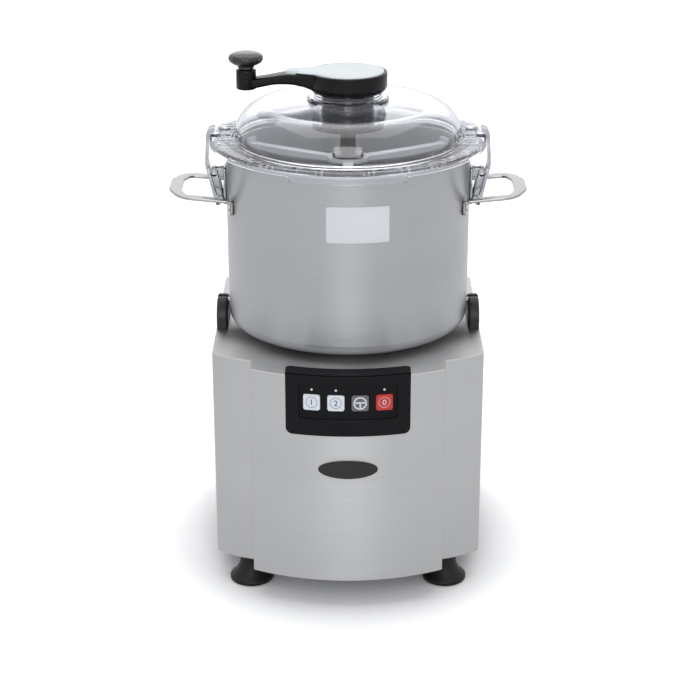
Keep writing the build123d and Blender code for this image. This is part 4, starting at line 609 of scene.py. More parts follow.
def mirror_x(mesh: Mesh) -> None:
    """Turn a right-hand mesh into the left-hand one."""
    bmesh.ops.scale(mesh, vec=(-1, 1, 1), verts=mesh.verts[:])
    bmesh.ops.reverse_faces(mesh, faces=mesh.faces[:])


@dataclass
class Piece:
    """One visible piece: where it rides, its finish, its record slot and the CAD nodes it stands for."""

    name: str
    body: str
    finish: str
    stands_for: tuple[str, ...] = ()
    slot: str | None = None
    mesh: Mesh = field(default_factory=bmesh.new)

    def done(self, smooth: float = SHARP_ANGLE) -> None:
        """Turn the mesh into an object that rides on its body.

        Args:
            smooth: Edges that turn by more than this stay sharp.
        """
        data = bpy.data.meshes.new(self.name)
        self.mesh.to_mesh(data)
        self.mesh.free()
        for polygon in data.polygons:
            polygon.use_smooth = True
        data.set_sharp_from_angle(angle=smooth)
        data.materials.append(finish_material(self.finish))
        made = show(self.name, data)
        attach(made, self.body)
        if self.stands_for:
            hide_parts(*self.stands_for)
        LOG.info("piece %s: %d faces on %s", self.name, len(data.polygons), self.body)


# ------------------------------------------------------------------ cabinet and controls
@dataclass(frozen=True)
class Feet:
    """Four flared rubber feet."""

    places: tuple[Corner, ...] = ((-0.114, -0.1077), (-0.114, 0.1077), (0.114, -0.1077), (0.114, 0.1077))
    radius: float = 0.0256
    neck: float = 0.0135
    height: float = 0.0334

    def build(self) -> None:
        """Spin each foot: a rim with a groove, a flared shoulder and a straight neck."""
        piece = Piece("feet_rubber", "base", "black_rubber", ("rubber_feet",))
        outline = [
            (0.0, 0.0006), (self.radius - 0.0030, 0.0), (self.radius - 0.0008, 0.0008), (self.radius, 0.0022),
            (self.radius, 0.0046), (self.radius - 0.0006, 0.0058), (self.radius - 0.0018, 0.0068),
            (self.radius - 0.0048, 0.0092), (self.neck + 0.0042, 0.0132), (self.neck + 0.0018, 0.0176),
            (self.neck + 0.0006, 0.0222), (self.neck, 0.0270), (self.neck, self.height), (0.0, self.height),
        ]
        for place in self.places:
            lathe(piece.mesh, outline, 56, closed=False, centre=place)
        piece.done(math.radians(50))


@dataclass(frozen=True)
class ControlPanel:
    """The black bezel folded over the cabinet's top edge, with its keypad window, keys and blank badge."""

    half: float = 0.0695
    low: float = 0.2155
    top: float = 0.2875
    thick: float = 0.003
    fold: float = 0.0235
    corner: float = 0.007
    pad_half: float = 0.0546
    pad_low: float = 0.2355
    pad_high: float = 0.2760
    key: float = 0.0186
    pitch: float = 0.0266
    key_z: float = 0.2556
    key_proud: float = 0.0024
    badge_z: float = 0.174
    badge_half: Corner = (0.0335, 0.011)
    figures: dict[str, str] = field(default_factory=lambda: {"one": "1", "two": "2", "off": "0"})

    def build(self) -> None:
        """Build every piece of the panel."""
        self.bezel()
        names = ("one", "two", "pulse", "off")
        finishes = ("key_white", "key_white", "key_grey", "key_red")
        for i, (name, finish) in enumerate(zip(names, finishes)):
            self.key_cap(name, finish, (i - 1.5) * self.pitch)
        self.badge()

    def bezel(self) -> None:
        """A flat L-shaped panel with a window, rounded, then bent round the bulged front."""
        piece = Piece("control_bezel_cover", "base", "black_plastic", ("control_bezel",))
        mesh = piece.mesh
        gap = 0.0001
        height, middle = self.top - self.low, (self.top + self.low) / 2
        face = rounded_rectangle(self.half, height / 2, self.corner)
        below = [(x, -gap, z + middle) for x, z in reversed(face) if z < 0]
        outline = [(self.half, -gap, self.top), *below, (-self.half, -gap, self.top)]
        prism(mesh, outline, (0, -self.thick + gap, 0))
        lid_low = self.top - self.thick + gap
        back = [(x, y) for x, y in rounded_rectangle(self.half, self.fold, self.corner) if y > 0]
        plan = [(self.half, 0.0), *back, (-self.half, 0.0)]
        shelf = bmesh.new()
        prism(shelf, [(x, y - self.thick, lid_low) for x, y in plan], (0, 0, self.thick - gap))
        window = bmesh.new()
        pad_middle, pad_height = (self.pad_low + self.pad_high) / 2, self.pad_high - self.pad_low
        pad = rounded_rectangle(self.pad_half, pad_height / 2, 0.003)
        prism(window, [(x, 0.02, z + pad_middle) for x, z in pad], (0, -0.04, 0))
        combine(mesh, window, "DIFFERENCE")
        seam = self.top - 0.0001
        rims = [e for e in sharp_edges(mesh) if max(v.co.y for v in e.verts) < -0.0025
                and min(v.co.z for v in e.verts) < seam]
        soften(mesh, rims, 0.0008, 3)
        append(mesh, shelf)
        rolled = [e for e in edges_above(mesh, seam) if e.calc_length() > 0.0002]
        soften(mesh, rolled, 0.0012, 4)
        wrap_round(mesh, BULGE_RADIUS, BULGE_CENTRE_Y, self.half, 36)
        piece.done()

    def key_cap(self, name: str, finish: str, x: float) -> None:
        """One square key with a soft edge, a dished face, and a plain mark.

        Args:
            name: The key's name in the record.
            finish: Its finish.
            x: How far across the panel it is.
        """
        face_y = -BULGE_REACH - self.key_proud
        piece = Piece(f"key_{name}_cap", f"key_{name}", finish, (f"button_{name}",))
        half, corner = self.key / 2, 0.0026
        outline = [(px, face_y, pz + self.key_z) for px, pz in rounded_rectangle(half, half, corner)]
        prism(piece.mesh, outline, (0, self.key_proud + 0.0010, 0))
        front = [f for f in piece.mesh.faces if f.normal.y < -0.9]
        inner = bmesh.ops.inset_region(piece.mesh, faces=front, thickness=0.0022, depth=-0.00012)["faces"]
        rims = [e for f in inner for e in f.edges if any(abs(v.co.y - face_y) < 1e-6 for v in e.verts)]
        outer = [e for e in sharp_edges(piece.mesh) if all(abs(v.co.y - face_y) < 1e-6 for v in e.verts)]
        soften(piece.mesh, set(outer) - set(rims), 0.0006, 3)
        lip = rounded_rectangle(half + 0.0012, half + 0.0012, corner)
        prism(piece.mesh, [(px, -BULGE_REACH + 0.0004, pz + self.key_z) for px, pz in lip], (0, 0.0012, 0))
        bmesh.ops.transform(piece.mesh, matrix=front_place(x), verts=piece.mesh.verts[:])
        piece.done()
        self.key_mark(name, x, face_y)

    def key_mark(self, name: str, x: float, face_y: float) -> None:
        """A thin ring with a figure or a plain symbol on a key's face.

        Args:
            name: The key's name.
            x: How far across the panel it is.
            face_y: Where the key's face is.
        """
        pulse = name == "pulse"
        finish = "mark_dark" if name in ("one", "two") else "mark_white"
        slot = "key_grey" if pulse else "key_white"
        piece = Piece(f"key_{name}_mark", f"key_{name}", finish, slot=slot)
        outer = 0.0076 if pulse else 0.0064
        inner = outer - (0.0017 if pulse else 0.0004)
        thick = 0.00012
        mesh = piece.mesh
        lathe(mesh, [(inner, 0.0), (outer, 0.0), (outer, thick), (inner, thick)], 48)
        if pulse:
            for half_x, half_y, shift in ((outer - 0.0006, 0.0009, 0.0006), (0.0009, 0.0032, -0.0032)):
                stroke = rounded_rectangle(half_x, half_y, 0.0003, 2)
                prism(mesh, [(bx, by + shift, 0.0) for bx, by in stroke], (0, 0, thick))
        else:
            self.figure(mesh, self.figures[name], thick)
        upright = Matrix.Rotation(math.radians(90), 4, "X")
        stand = Matrix.Translation((0, face_y + thick, self.key_z)) @ upright
        bmesh.ops.transform(mesh, matrix=front_place(x) @ stand, verts=mesh.verts[:])
        piece.done()

    @staticmethod
    def figure(mesh: Mesh, character: str, thick: float) -> None:
        """Add a plain figure, centred, in the X-Y plane.

        Args:
            mesh: The mesh to add to.
            character: The figure.
            thick: How thick it is.
        """
        curve = bpy.data.curves.new("figure", "FONT")
        curve.body = character
        curve.size = 0.0095
        curve.extrude = thick / 2
        curve.resolution_u = 4
        holder = show("figure", curve)
        graph = bpy.context.evaluated_depsgraph_get()
        graph.update()
        shape = bpy.data.meshes.new_from_object(holder.evaluated_get(graph))
        low = Vector([min(v.co[i] for v in shape.vertices) for i in range(3)])
        high = Vector([max(v.co[i] for v in shape.vertices) for i in range(3)])
        middle = (low + high) / 2
        shape.transform(Matrix.Translation((-middle.x, -middle.y, thick / 2 - middle.z)))
        mesh.from_mesh(shape)
        bpy.data.objects.remove(holder)
        bpy.data.curves.remove(curve)
        bpy.data.meshes.remove(shape)

    def badge(self) -> None:
        """A blank oval plate with a raised rim, bent to the front."""
        piece = Piece("badge_blank", "base", "badge_black", ("badge_plate",))
        mesh = piece.mesh
        steps = 96
        turns = [math.tau * i / steps for i in range(steps)]
        half_x, half_z = self.badge_half
        oval = [(half_x * math.cos(a), -0.0001, self.badge_z + half_z * math.sin(a)) for a in turns]
        prism(mesh, oval, (0, -0.0015, 0))
        front = [f for f in mesh.faces if f.normal.y < -0.9]
        bmesh.ops.inset_region(mesh, faces=front, thickness=0.0009, depth=0.0)
        middle = [f for f in mesh.faces if f.normal.y < -0.9 and len(f.verts) == steps]
        bmesh.ops.inset_region(mesh, faces=middle, thickness=0.0004, depth=-0.0004)
        soften(mesh, edges_before(mesh, -0.0015, SQUARE_ANGLE), 0.0003)
        wrap_round(mesh, BULGE_RADIUS, BULGE_CENTRE_Y, half_x, 24)
        piece.done()


# ------------------------------------------------------------------ bowl
@dataclass(frozen=True)
class Bowl:
    """The lift-off bowl with its rolled rim, strap handles and blank label."""

    radius: float = BOWL_RADIUS
    wall: float = 0.0015
    low: float = 0.2925
    top: float = 0.505
    corner: float = 0.0145
    rim: float = 0.1518
    hole: float = 0.0131
    handle_top: float = 0.449
    handle_thick: float = 0.0035
    handle_root: float = 0.055
    handle_tip: float = 0.0505
    handle_reach: float = 0.205
    handle_tilt: float = math.radians(5.0)
    label_half: Corner = (0.0345, 0.0205)
    label_z: float = 0.448
    label_shift: float = 0.011

    def build(self) -> None:
        """Build the shell, handles and label."""
        self.shell()
        for side, name in SIDES:
            self.handle(side, name)
        self.label()

    def shell(self) -> None:
        """Spin the wall, the rounded foot and a rolled rim."""
        piece = Piece("bowl_body", "bowl", "bowl_steel", ("bowl_shell",))
        inner = self.radius - self.wall
        turn = (self.radius - self.corner, self.low + self.corner)
        foot = arc(turn, self.corner, -90, 0, 8)
        root = arc(turn, self.corner - self.wall, 0, -90, 8)
        rim, top, bead = self.rim, self.top, self.top - 0.0012
        outline = [
            (self.hole, self.low), *foot, (self.radius, top - 0.0030), (self.radius + 0.0006, top - 0.0018),
            (rim - 0.0010, top - 0.0016), (rim, bead - 0.0002), (rim, bead + 0.0006), (rim - 0.0008, top),
            (inner + 0.0020, top), (inner + 0.0006, top - 0.0006), (inner, top - 0.0020), *root,
            (self.hole, self.low + self.wall),
        ]
        lathe(piece.mesh, outline, 160)
        piece.done(math.radians(40))

    def handle(self, side: int, name: str) -> None:
        """A flat strap bent to a loop that rises outward, with rounded edges and riveted tabs.

        Args:
            side: 1 for the right and -1 for the left.
            name: The side's name.
        """
        piece = Piece(f"handle_{name}_loop", "bowl", "handle_steel", (f"handle_{name}",))
        mesh = piece.mesh
        low = self.handle_top - self.handle_thick
        points = self.half_loop(self.handle_root, self.handle_tip, self.handle_reach, 0.014, (0.024, 0.024))
        hole = self.half_loop(self.handle_root - 0.012, self.handle_tip - 0.012, self.handle_reach - 0.0145,
                              0.0065, (0.0075, 0.006))
        outline = [*points, *[(x, -y) for x, y in reversed(points)]]
        inner = [*[(x, -y) for x, y in hole], *reversed(hole)]
        prism(mesh, [(x, y, low) for x, y in outline + inner], (0, 0, self.handle_thick))
        bmesh.ops.triangulate(mesh, faces=[f for f in mesh.faces if len(f.verts) > 4])
        soften(mesh, sharp_edges(mesh, SQUARE_ANGLE), 0.0011, 3)
        bmesh.ops.rotate(mesh, cent=(self.radius, 0, self.handle_top), verts=mesh.verts[:],
                         matrix=Matrix.Rotation(-self.handle_tilt, 3, "Y"))
        angle = math.asin((self.handle_root - 0.006) / self.radius)
        for turn in (-angle, angle):
            self.tab(mesh, turn, low)
        if side < 0:
            turn_round(mesh, math.pi)
        piece.done(math.radians(50))

    def half_loop(self, root: float, tip: float, reach: float, shoulder: float,
                  corners: Corner) -> list[Corner]:
        """The far half of a loop's plan, from the wall to the middle of its end.

        Args:
            root: Half the loop's width at the bowl's middle.
            tip: Half its width near its end.
            reach: How far it goes out.
            shoulder: How far in from the end the shoulder starts.
            corners: The radius of its shoulder and of its end.
        Returns:
            The plan's corners, with Y positive.
        """
        foot = self.radius + 0.0024
        start = math.sqrt(foot**2 - root**2)
        edge = root - (root - tip) * start / (reach - shoulder)
        path = [(start, 0.0), (start, edge), (reach - shoulder, tip), (reach, 0.020), (reach, 0.0)]
        return rounded_outline(path, (0, 0, *corners, 0), 8)[1:-1]

    def tab(self, mesh: Mesh, turn: float, low: float) -> None:
        """A rounded tab against the wall, bent over at its top into a handle's arm.

        Args:
            mesh: The handle's mesh.
            turn: How far round the bowl it is.
            low: The handle's underside.
        """
        tab = bmesh.new()
        foot = self.handle_top - 0.018
        half = 0.0055
        root = self.radius + 0.0001
        seat = low - 0.0018
        end = arc((0.0, foot + half), half, 180, 360, 10)
        prism(tab, [(root, y, z) for y, z in [(-half, seat), *end, (half, seat)]], (0.0029, 0, 0))
        soften(tab, sharp_edges(tab, SQUARE_ANGLE), 0.0009)
        bend = [
            (root, seat - 0.0001), (root + 0.0030, seat - 0.0001),
            *arc((root + 0.0048, seat), 0.0018, 180, 90, 5), (root + 0.0062, low),
            (root + 0.0062, self.handle_top + 0.0001),
            *arc((root + 0.0040, self.handle_top - 0.0040), 0.0040, 90, 180, 7),
        ]
        corner = bmesh.new()
        prism(corner, [(x, -half, z) for x, z in bend], (0, 2 * half, 0))
        flat = [e for e in sharp_edges(corner, SQUARE_ANGLE) if abs(e.verts[0].co.y - e.verts[1].co.y) < 1e-6]
        soften(corner, flat, 0.0009)
        append(tab, corner)
        turn_round(tab, turn)
        append(mesh, tab)

    def label(self) -> None:
        """A blank plate bent to the wall, with a hairline frame just proud of it."""
        half_x, half_z = self.label_half
        corner, inset = 0.0022, 0.0022
        plate = Piece("label_plate", "bowl", "label_white", ("label_plate",))
        outline = rounded_rectangle(half_x, half_z, corner)
        prism(plate.mesh, [(x, -0.0001, z + self.label_z) for x, z in outline], (0, -0.0004, 0))
        soften(plate.mesh, edges_before(plate.mesh, -0.0004, SQUARE_ANGLE), 0.00012)
        line = Piece("label_keyline", "bowl", "mark_dark", slot="label_white")
        outline = rounded_rectangle(half_x - inset, half_z - inset, corner)
        face = line.mesh.faces.new([line.mesh.verts.new((x, -0.00054, z + self.label_z)) for x, z in outline])
        frame_faces = bmesh.ops.inset_region(line.mesh, faces=[face], use_boundary=True, use_even_offset=True,
                                             thickness=0.0003)["faces"]
        bmesh.ops.delete(line.mesh, geom=[f for f in line.mesh.faces if f not in frame_faces],
                         context="FACES_ONLY")
        thicken(line.mesh, line.mesh.faces[:], (0, 0.00005, 0))
        for piece in (plate, line):
            wrap_round(piece.mesh, self.radius, 0.0, half_x, 20)
            turn_round(piece.mesh, math.asin(self.label_shift / self.radius))
            piece.done()


# ------------------------------------------------------------------ latches
@dataclass(frozen=True)
class Latch:
    """An over-centre latch: a riveted bracket, a cheeked lever and a hooked strap, in a radial plane."""

    pivot: Corner = (153.5, 469.0)
    strap_pivot: Corner = (146.4, 439.5)
    edge: float = 0.0005
    ears: Corner = (4.0, 7.0)
    cheeks: Corner = (7.4, 9.8)
    lugs: Corner = (10.4, 13.0)

    def build(self) -> None:
        """Build both latches."""
        for _, name in SIDES:
            self.bracket(name)
            self.lever(name)
            self.strap(name)

    @staticmethod
    def plates(mesh: Mesh, outline: Sequence[Corner], span: Corner) -> None:
        """Two like plates, one each side of the latch's middle.

        Args:
            mesh: The mesh to add to.
            outline: The plate's corners, as (distance, height) in millimetres.
            span: How far its near and far faces are from the middle.
        """
        near, far = span
        slab(mesh, outline, near, far)
        slab(mesh, outline, -far, -near)

    def eyes(self, mesh: Mesh, centre: Corner, radius: float, span: Corner) -> None:
        """Round ends about a pin's centre, on both sides, placed as plates() places them."""
        self.plates(mesh, arc(centre, radius, 0, 345, 23), span)

    def finish(self, piece: Piece, name: str) -> None:
        """Round the edges, mirror the left one, and place it."""
        soften(piece.mesh, sharp_edges(piece.mesh, math.radians(40)), self.edge)
        if name == "left":
            mirror_x(piece.mesh)
        piece.done(math.radians(45))

    def bracket(self, name: str) -> None:
        """The plate on the bowl's wall, with two ears and a pressed rib."""
        piece = Piece(f"latch_{name}_bracket", "bowl", "latch_steel", (f"latch_bracket_{name}",))
        plate = metres(rounded_rectangle(13.0, 22.0, 3.0))
        prism(piece.mesh, [(0.1401, y, z + 0.454) for y, z in plate], (0.0025, 0, 0))
        rib = rounded_rectangle(0.0016, 0.0075, 0.0015, 4)
        for side in (-1, 1):
            prism(piece.mesh, [(0.1424, y + side * 0.0090, z + 0.444) for y, z in rib], (0.0010, 0, 0))
        self.plates(piece.mesh, [(142.1, 474), (142.1, 460), (153.5, 464.6), (153.5, 473.4)], self.ears)
        self.eyes(piece.mesh, self.pivot, 4.4, self.ears)
        self.finish(piece, name)

    def lever(self, name: str) -> None:
        """Two cheeks joined by a rolled thumb bar."""
        piece = Piece(f"latch_{name}_lever", f"lever_{name}", "latch_steel", (f"latch_lever_{name}",))
        outline = [
            (149.3, 468), (143.8, 441.5), (143.8, 437.5), (147.6, 431), (152.2, 431), (152.2, 436),
            (157.7, 468),
        ]
        self.plates(piece.mesh, outline, self.cheeks)
        self.eyes(piece.mesh, self.pivot, 4.4, self.cheeks)
        self.eyes(piece.mesh, self.strap_pivot, 3.3, self.cheeks)
        bar = [(x + 150.5, z + 434.0) for x, z in rounded_rectangle(1.7, 3.0, 1.0, 3)]
        slab(piece.mesh, bar, -self.cheeks[1], self.cheeks[1])
        self.finish(piece, name)

    def strap(self, name: str) -> None:
        """A flat strap, cranked at its foot, that narrows to a hook over the lid's boss."""
        piece = Piece(f"latch_{name}_strap", f"strap_{name}", "strap_steel", (f"latch_strap_{name}",))
        corners = [
            (159.5, 475), (162.3, 475), (163.3, 480.5), (161.6, 514.5), (159.4, 519.3), (154.6, 521.5),
            (153.7, 521.5), (151.5, 520.4), (151.5, 519.7), (157.0, 512.7), (158.8, 510.5), (160.5, 480.5),
        ]
        rounds = (0, 0, 5.0, 5.0, 3.0, 0.6, 0.5, 0.3, 0.3, 2.0, 3.0, 4.0)
        half, narrow = self.lugs[1], 9.5
        slab(piece.mesh, rounded_outline(corners, rounds), -half, half)
        neck, head = 0.4965, 0.5065
        for height in (neck, head):
            slice_at(piece.mesh, (0, 0, height), (0, 0, 1))
        for vertex in piece.mesh.verts:
            share = min(1.0, max(0.0, (vertex.co.z - neck) / (head - neck)))
            vertex.co.y *= 1 - share * (1 - narrow / half)
        bmesh.ops.triangulate(piece.mesh, faces=[f for f in piece.mesh.faces if len(f.verts) > 4])
        lug = [(143.8, 441.5), (143.8, 437.5), (154, 439.5), (162.3, 475), (159.5, 475), (151.2, 444)]
        self.plates(piece.mesh, lug, self.lugs)
        self.eyes(piece.mesh, self.strap_pivot, 3.3, self.lugs)
        self.finish(piece, name)


# ------------------------------------------------------------------ lid
@dataclass(frozen=True)
class Lid:
    """The clear lid: a low dome on a broad flange, with a neck, a collar, clip blocks and a front lip."""

    flange: float = 157.8
    flange_low: float = 507.0
    flange_top: float = 511.8
    skirt_low: float = 503.6
    dome: float = 129.5
    shoulder: float = 38.0
    crown: float = 1500.0
    top: float = 553.5
    wall: float = 3.0
    rim_ribs: int = 160
    rim_rib_span: Corner = (152.0, 156.2)
    rim_rib_depth: float = 0.18
    rib_places: tuple[float, ...] = (24.0, 32.0, 40.0, 48.0)
    rib_thick: float = 2.4
    clip_low: float = 510.0
    lip_low: float = 497.6
    lip_top: float = 505.0
    lip_half_angle: float = math.radians(25)
    lip_round: float = 0.042

    def build(self) -> None:
        """Build the shell and the two pins."""
        self.shell()
        for side, name in SIDES:
            self.pin(side, name)

    def crown_height(self, radius: float, wall: float = 0.0) -> float:
        """The crown's height over the ground at a radius, in millimetres."""
        return self.top - self.crown + math.sqrt((self.crown - wall) ** 2 - radius**2)

    def shell(self) -> None:
        """Spin one closed section: neck, collar, crown, shoulder, flange, spigot and back up the inside."""
        piece = Piece("lid_clear", "lid", "clear_lid", ("lid_dome",))
        run = self.crown - self.shoulder
        shoulder_x = self.dome - self.shoulder
        shoulder = (shoulder_x, self.top - self.crown + math.sqrt(run**2 - shoulder_x**2))
        lean = 90 - math.degrees(math.asin(shoulder_x / run))
        outside = [(r, self.crown_height(r)) for r in (46.6, 58.0, 70.0, 82.0)]
        inside = [(r, self.crown_height(r, self.wall)) for r in (82.0, 70.0, 58.0, 46.0, 36.6)]
        edge, low, top, skirt = self.flange, self.flange_low, self.flange_top, self.skirt_low
        first, last = self.rim_rib_span
        corners = [
            (30.4, 562.4), (31.0, 563.0), (38.4, 563.0), (39.0, 562.4), (39.0, 557.9), (39.4, 557.5),
            (43.6, 557.5), (44.8, 557.3), (46.3, 555.9), (46.6, 555.2), *outside,
            *arc(shoulder, self.shoulder, lean, 5, 18), *arc((self.dome + 4.0, top + 4.0), 4.0, 185, 270, 5),
            (first - 0.4, top), (first + 0.2, top), (last - 0.2, top), (last + 0.6, top - 0.3),
            (edge - 0.2, top - 0.9), (edge, top - 1.6), (edge, skirt + 0.5), (edge - 0.5, skirt),
            (edge - 2.5, skirt), (edge - 3.0, skirt + 0.5), (edge - 3.0, low), (137.0, low), (137.0, 498.6),
            (136.4, 498.0), (134.6, 498.0), (134.0, 498.6), (134.0, low), (self.dome - self.wall, low),
            *arc(shoulder, self.shoulder - self.wall, 0, lean, 18), *inside,
            (36.0, 549.4), (36.0, 532.5), (35.5, 532.0), (30.9, 532.0), (30.4, 532.5),
        ]
        lathe(piece.mesh, metres(corners), 2 * self.rim_ribs)
        for vertex in piece.mesh.verts:
            reach = math.hypot(vertex.co.x, vertex.co.y) / MM
            turn = round(math.atan2(vertex.co.y, vertex.co.x) / (math.pi / self.rim_ribs))
            if turn % 2 and first < reach < last and vertex.co.z > (top - 0.1) * MM:
                vertex.co.z -= self.rim_rib_depth * MM
        for side in (1, -1):
            for tool in self.clips():
                if side < 0:
                    mirror_x(tool)
                combine(piece.mesh, tool, "UNION")
        combine(piece.mesh, self.lip(), "UNION")
        piece.done(math.radians(38))

    def clips(self) -> list[Mesh]:
        """The right-hand clip's ramped block, the saddle inside it, and the upright ribs at both sides."""
        low = self.clip_low
        block = [(145.0, low), (157.2, low), (157.2, 511.8), (152.2, 518.2), (145.0, 518.2)]
        saddle = [(133.6, low), (144.6, low), (144.6, 517.6), (133.6, 517.6)]
        forms = [(block, (0, 0, 0.4, 1.2, 1.0), 0.0, 21.0), (saddle, (0, 0, 1.0, 0), 0.0, 8.4)]
        for place in self.rib_places:
            root = math.sqrt((self.dome - self.wall / 2) ** 2 - place**2)
            fin = [(root, low), (147.5, low), (147.5, 515.2), (root, 515.2)]
            forms += [(fin, (0, 0, 2.2, 0), sign * place, self.rib_thick) for sign in (-1, 1)]
        tools = []
        for corners, rounds, middle, thick in forms:
            tools.append(bmesh.new())
            slab(tools[-1], rounded_outline(corners, rounds), middle - thick / 2, middle + thick / 2)
        return tools

    def lip(self) -> Mesh:
        """The deeper grip at the front of the skirt, with rounded ends."""
        mesh = bmesh.new()
        half = self.lip_half_angle
        outer, inner = (self.flange - 0.1) * MM, (self.flange - 2.9) * MM
        low, high = self.lip_low * MM, self.lip_top * MM
        start = Matrix.Rotation(-math.pi / 2 - half, 4, "Z")
        section = [(inner, low), (outer, low), (outer, high), (inner, high)]
        face = mesh.faces.new([mesh.verts.new(start @ Vector((r, 0, z))) for r, z in section])
        bmesh.ops.spin(mesh, geom=[face, *face.edges, *face.verts], cent=(0, 0, 0), axis=(0, 0, 1),
                       dvec=(0, 0, 0), angle=2 * half, steps=48, use_merge=False, use_normal_flip=False,
                       use_duplicate=False)
        bmesh.ops.remove_doubles(mesh, verts=mesh.verts[:], dist=1e-6)
        for vertex in mesh.verts:
            turn = abs(math.atan2(vertex.co.x, -vertex.co.y))
            edge = max(0.0, (turn - half) / self.lip_round + 1)
            if vertex.co.z < (low + high) / 2:
                vertex.co.z += (high - 0.0006 - vertex.co.z) * (1 - math.sqrt(max(0.0, 1 - edge**2)))
        bmesh.ops.recalc_face_normals(mesh, faces=mesh.faces[:])
        return mesh

    def pin(self, side: int, name: str) -> None:
        """A polished pin that lies in the saddle between the dome and the hook.

        Args:
            side: 1 for the right and -1 for the left.
            name: The side's name.
        """
        piece = Piece(f"lid_pin_{name}", "lid", "shaft_steel")
        half, radius, edge = 6.6, 3.0, 0.8
        end = [(0.0, half), (radius - edge, half), (radius, half - edge)]
        profile = [*[(r, -z) for r, z in end], *reversed(end)]
        lathe(piece.mesh, metres(profile), 32, closed=False)
        place = Matrix.Translation((0.1405, 0.0, 0.5198)) @ Matrix.Rotation(math.pi / 2, 4, "Y")
        bmesh.ops.transform(piece.mesh, matrix=place, verts=piece.mesh.verts[:])
        if side < 0:
            mirror_x(piece.mesh)
        piece.done(math.radians(50))


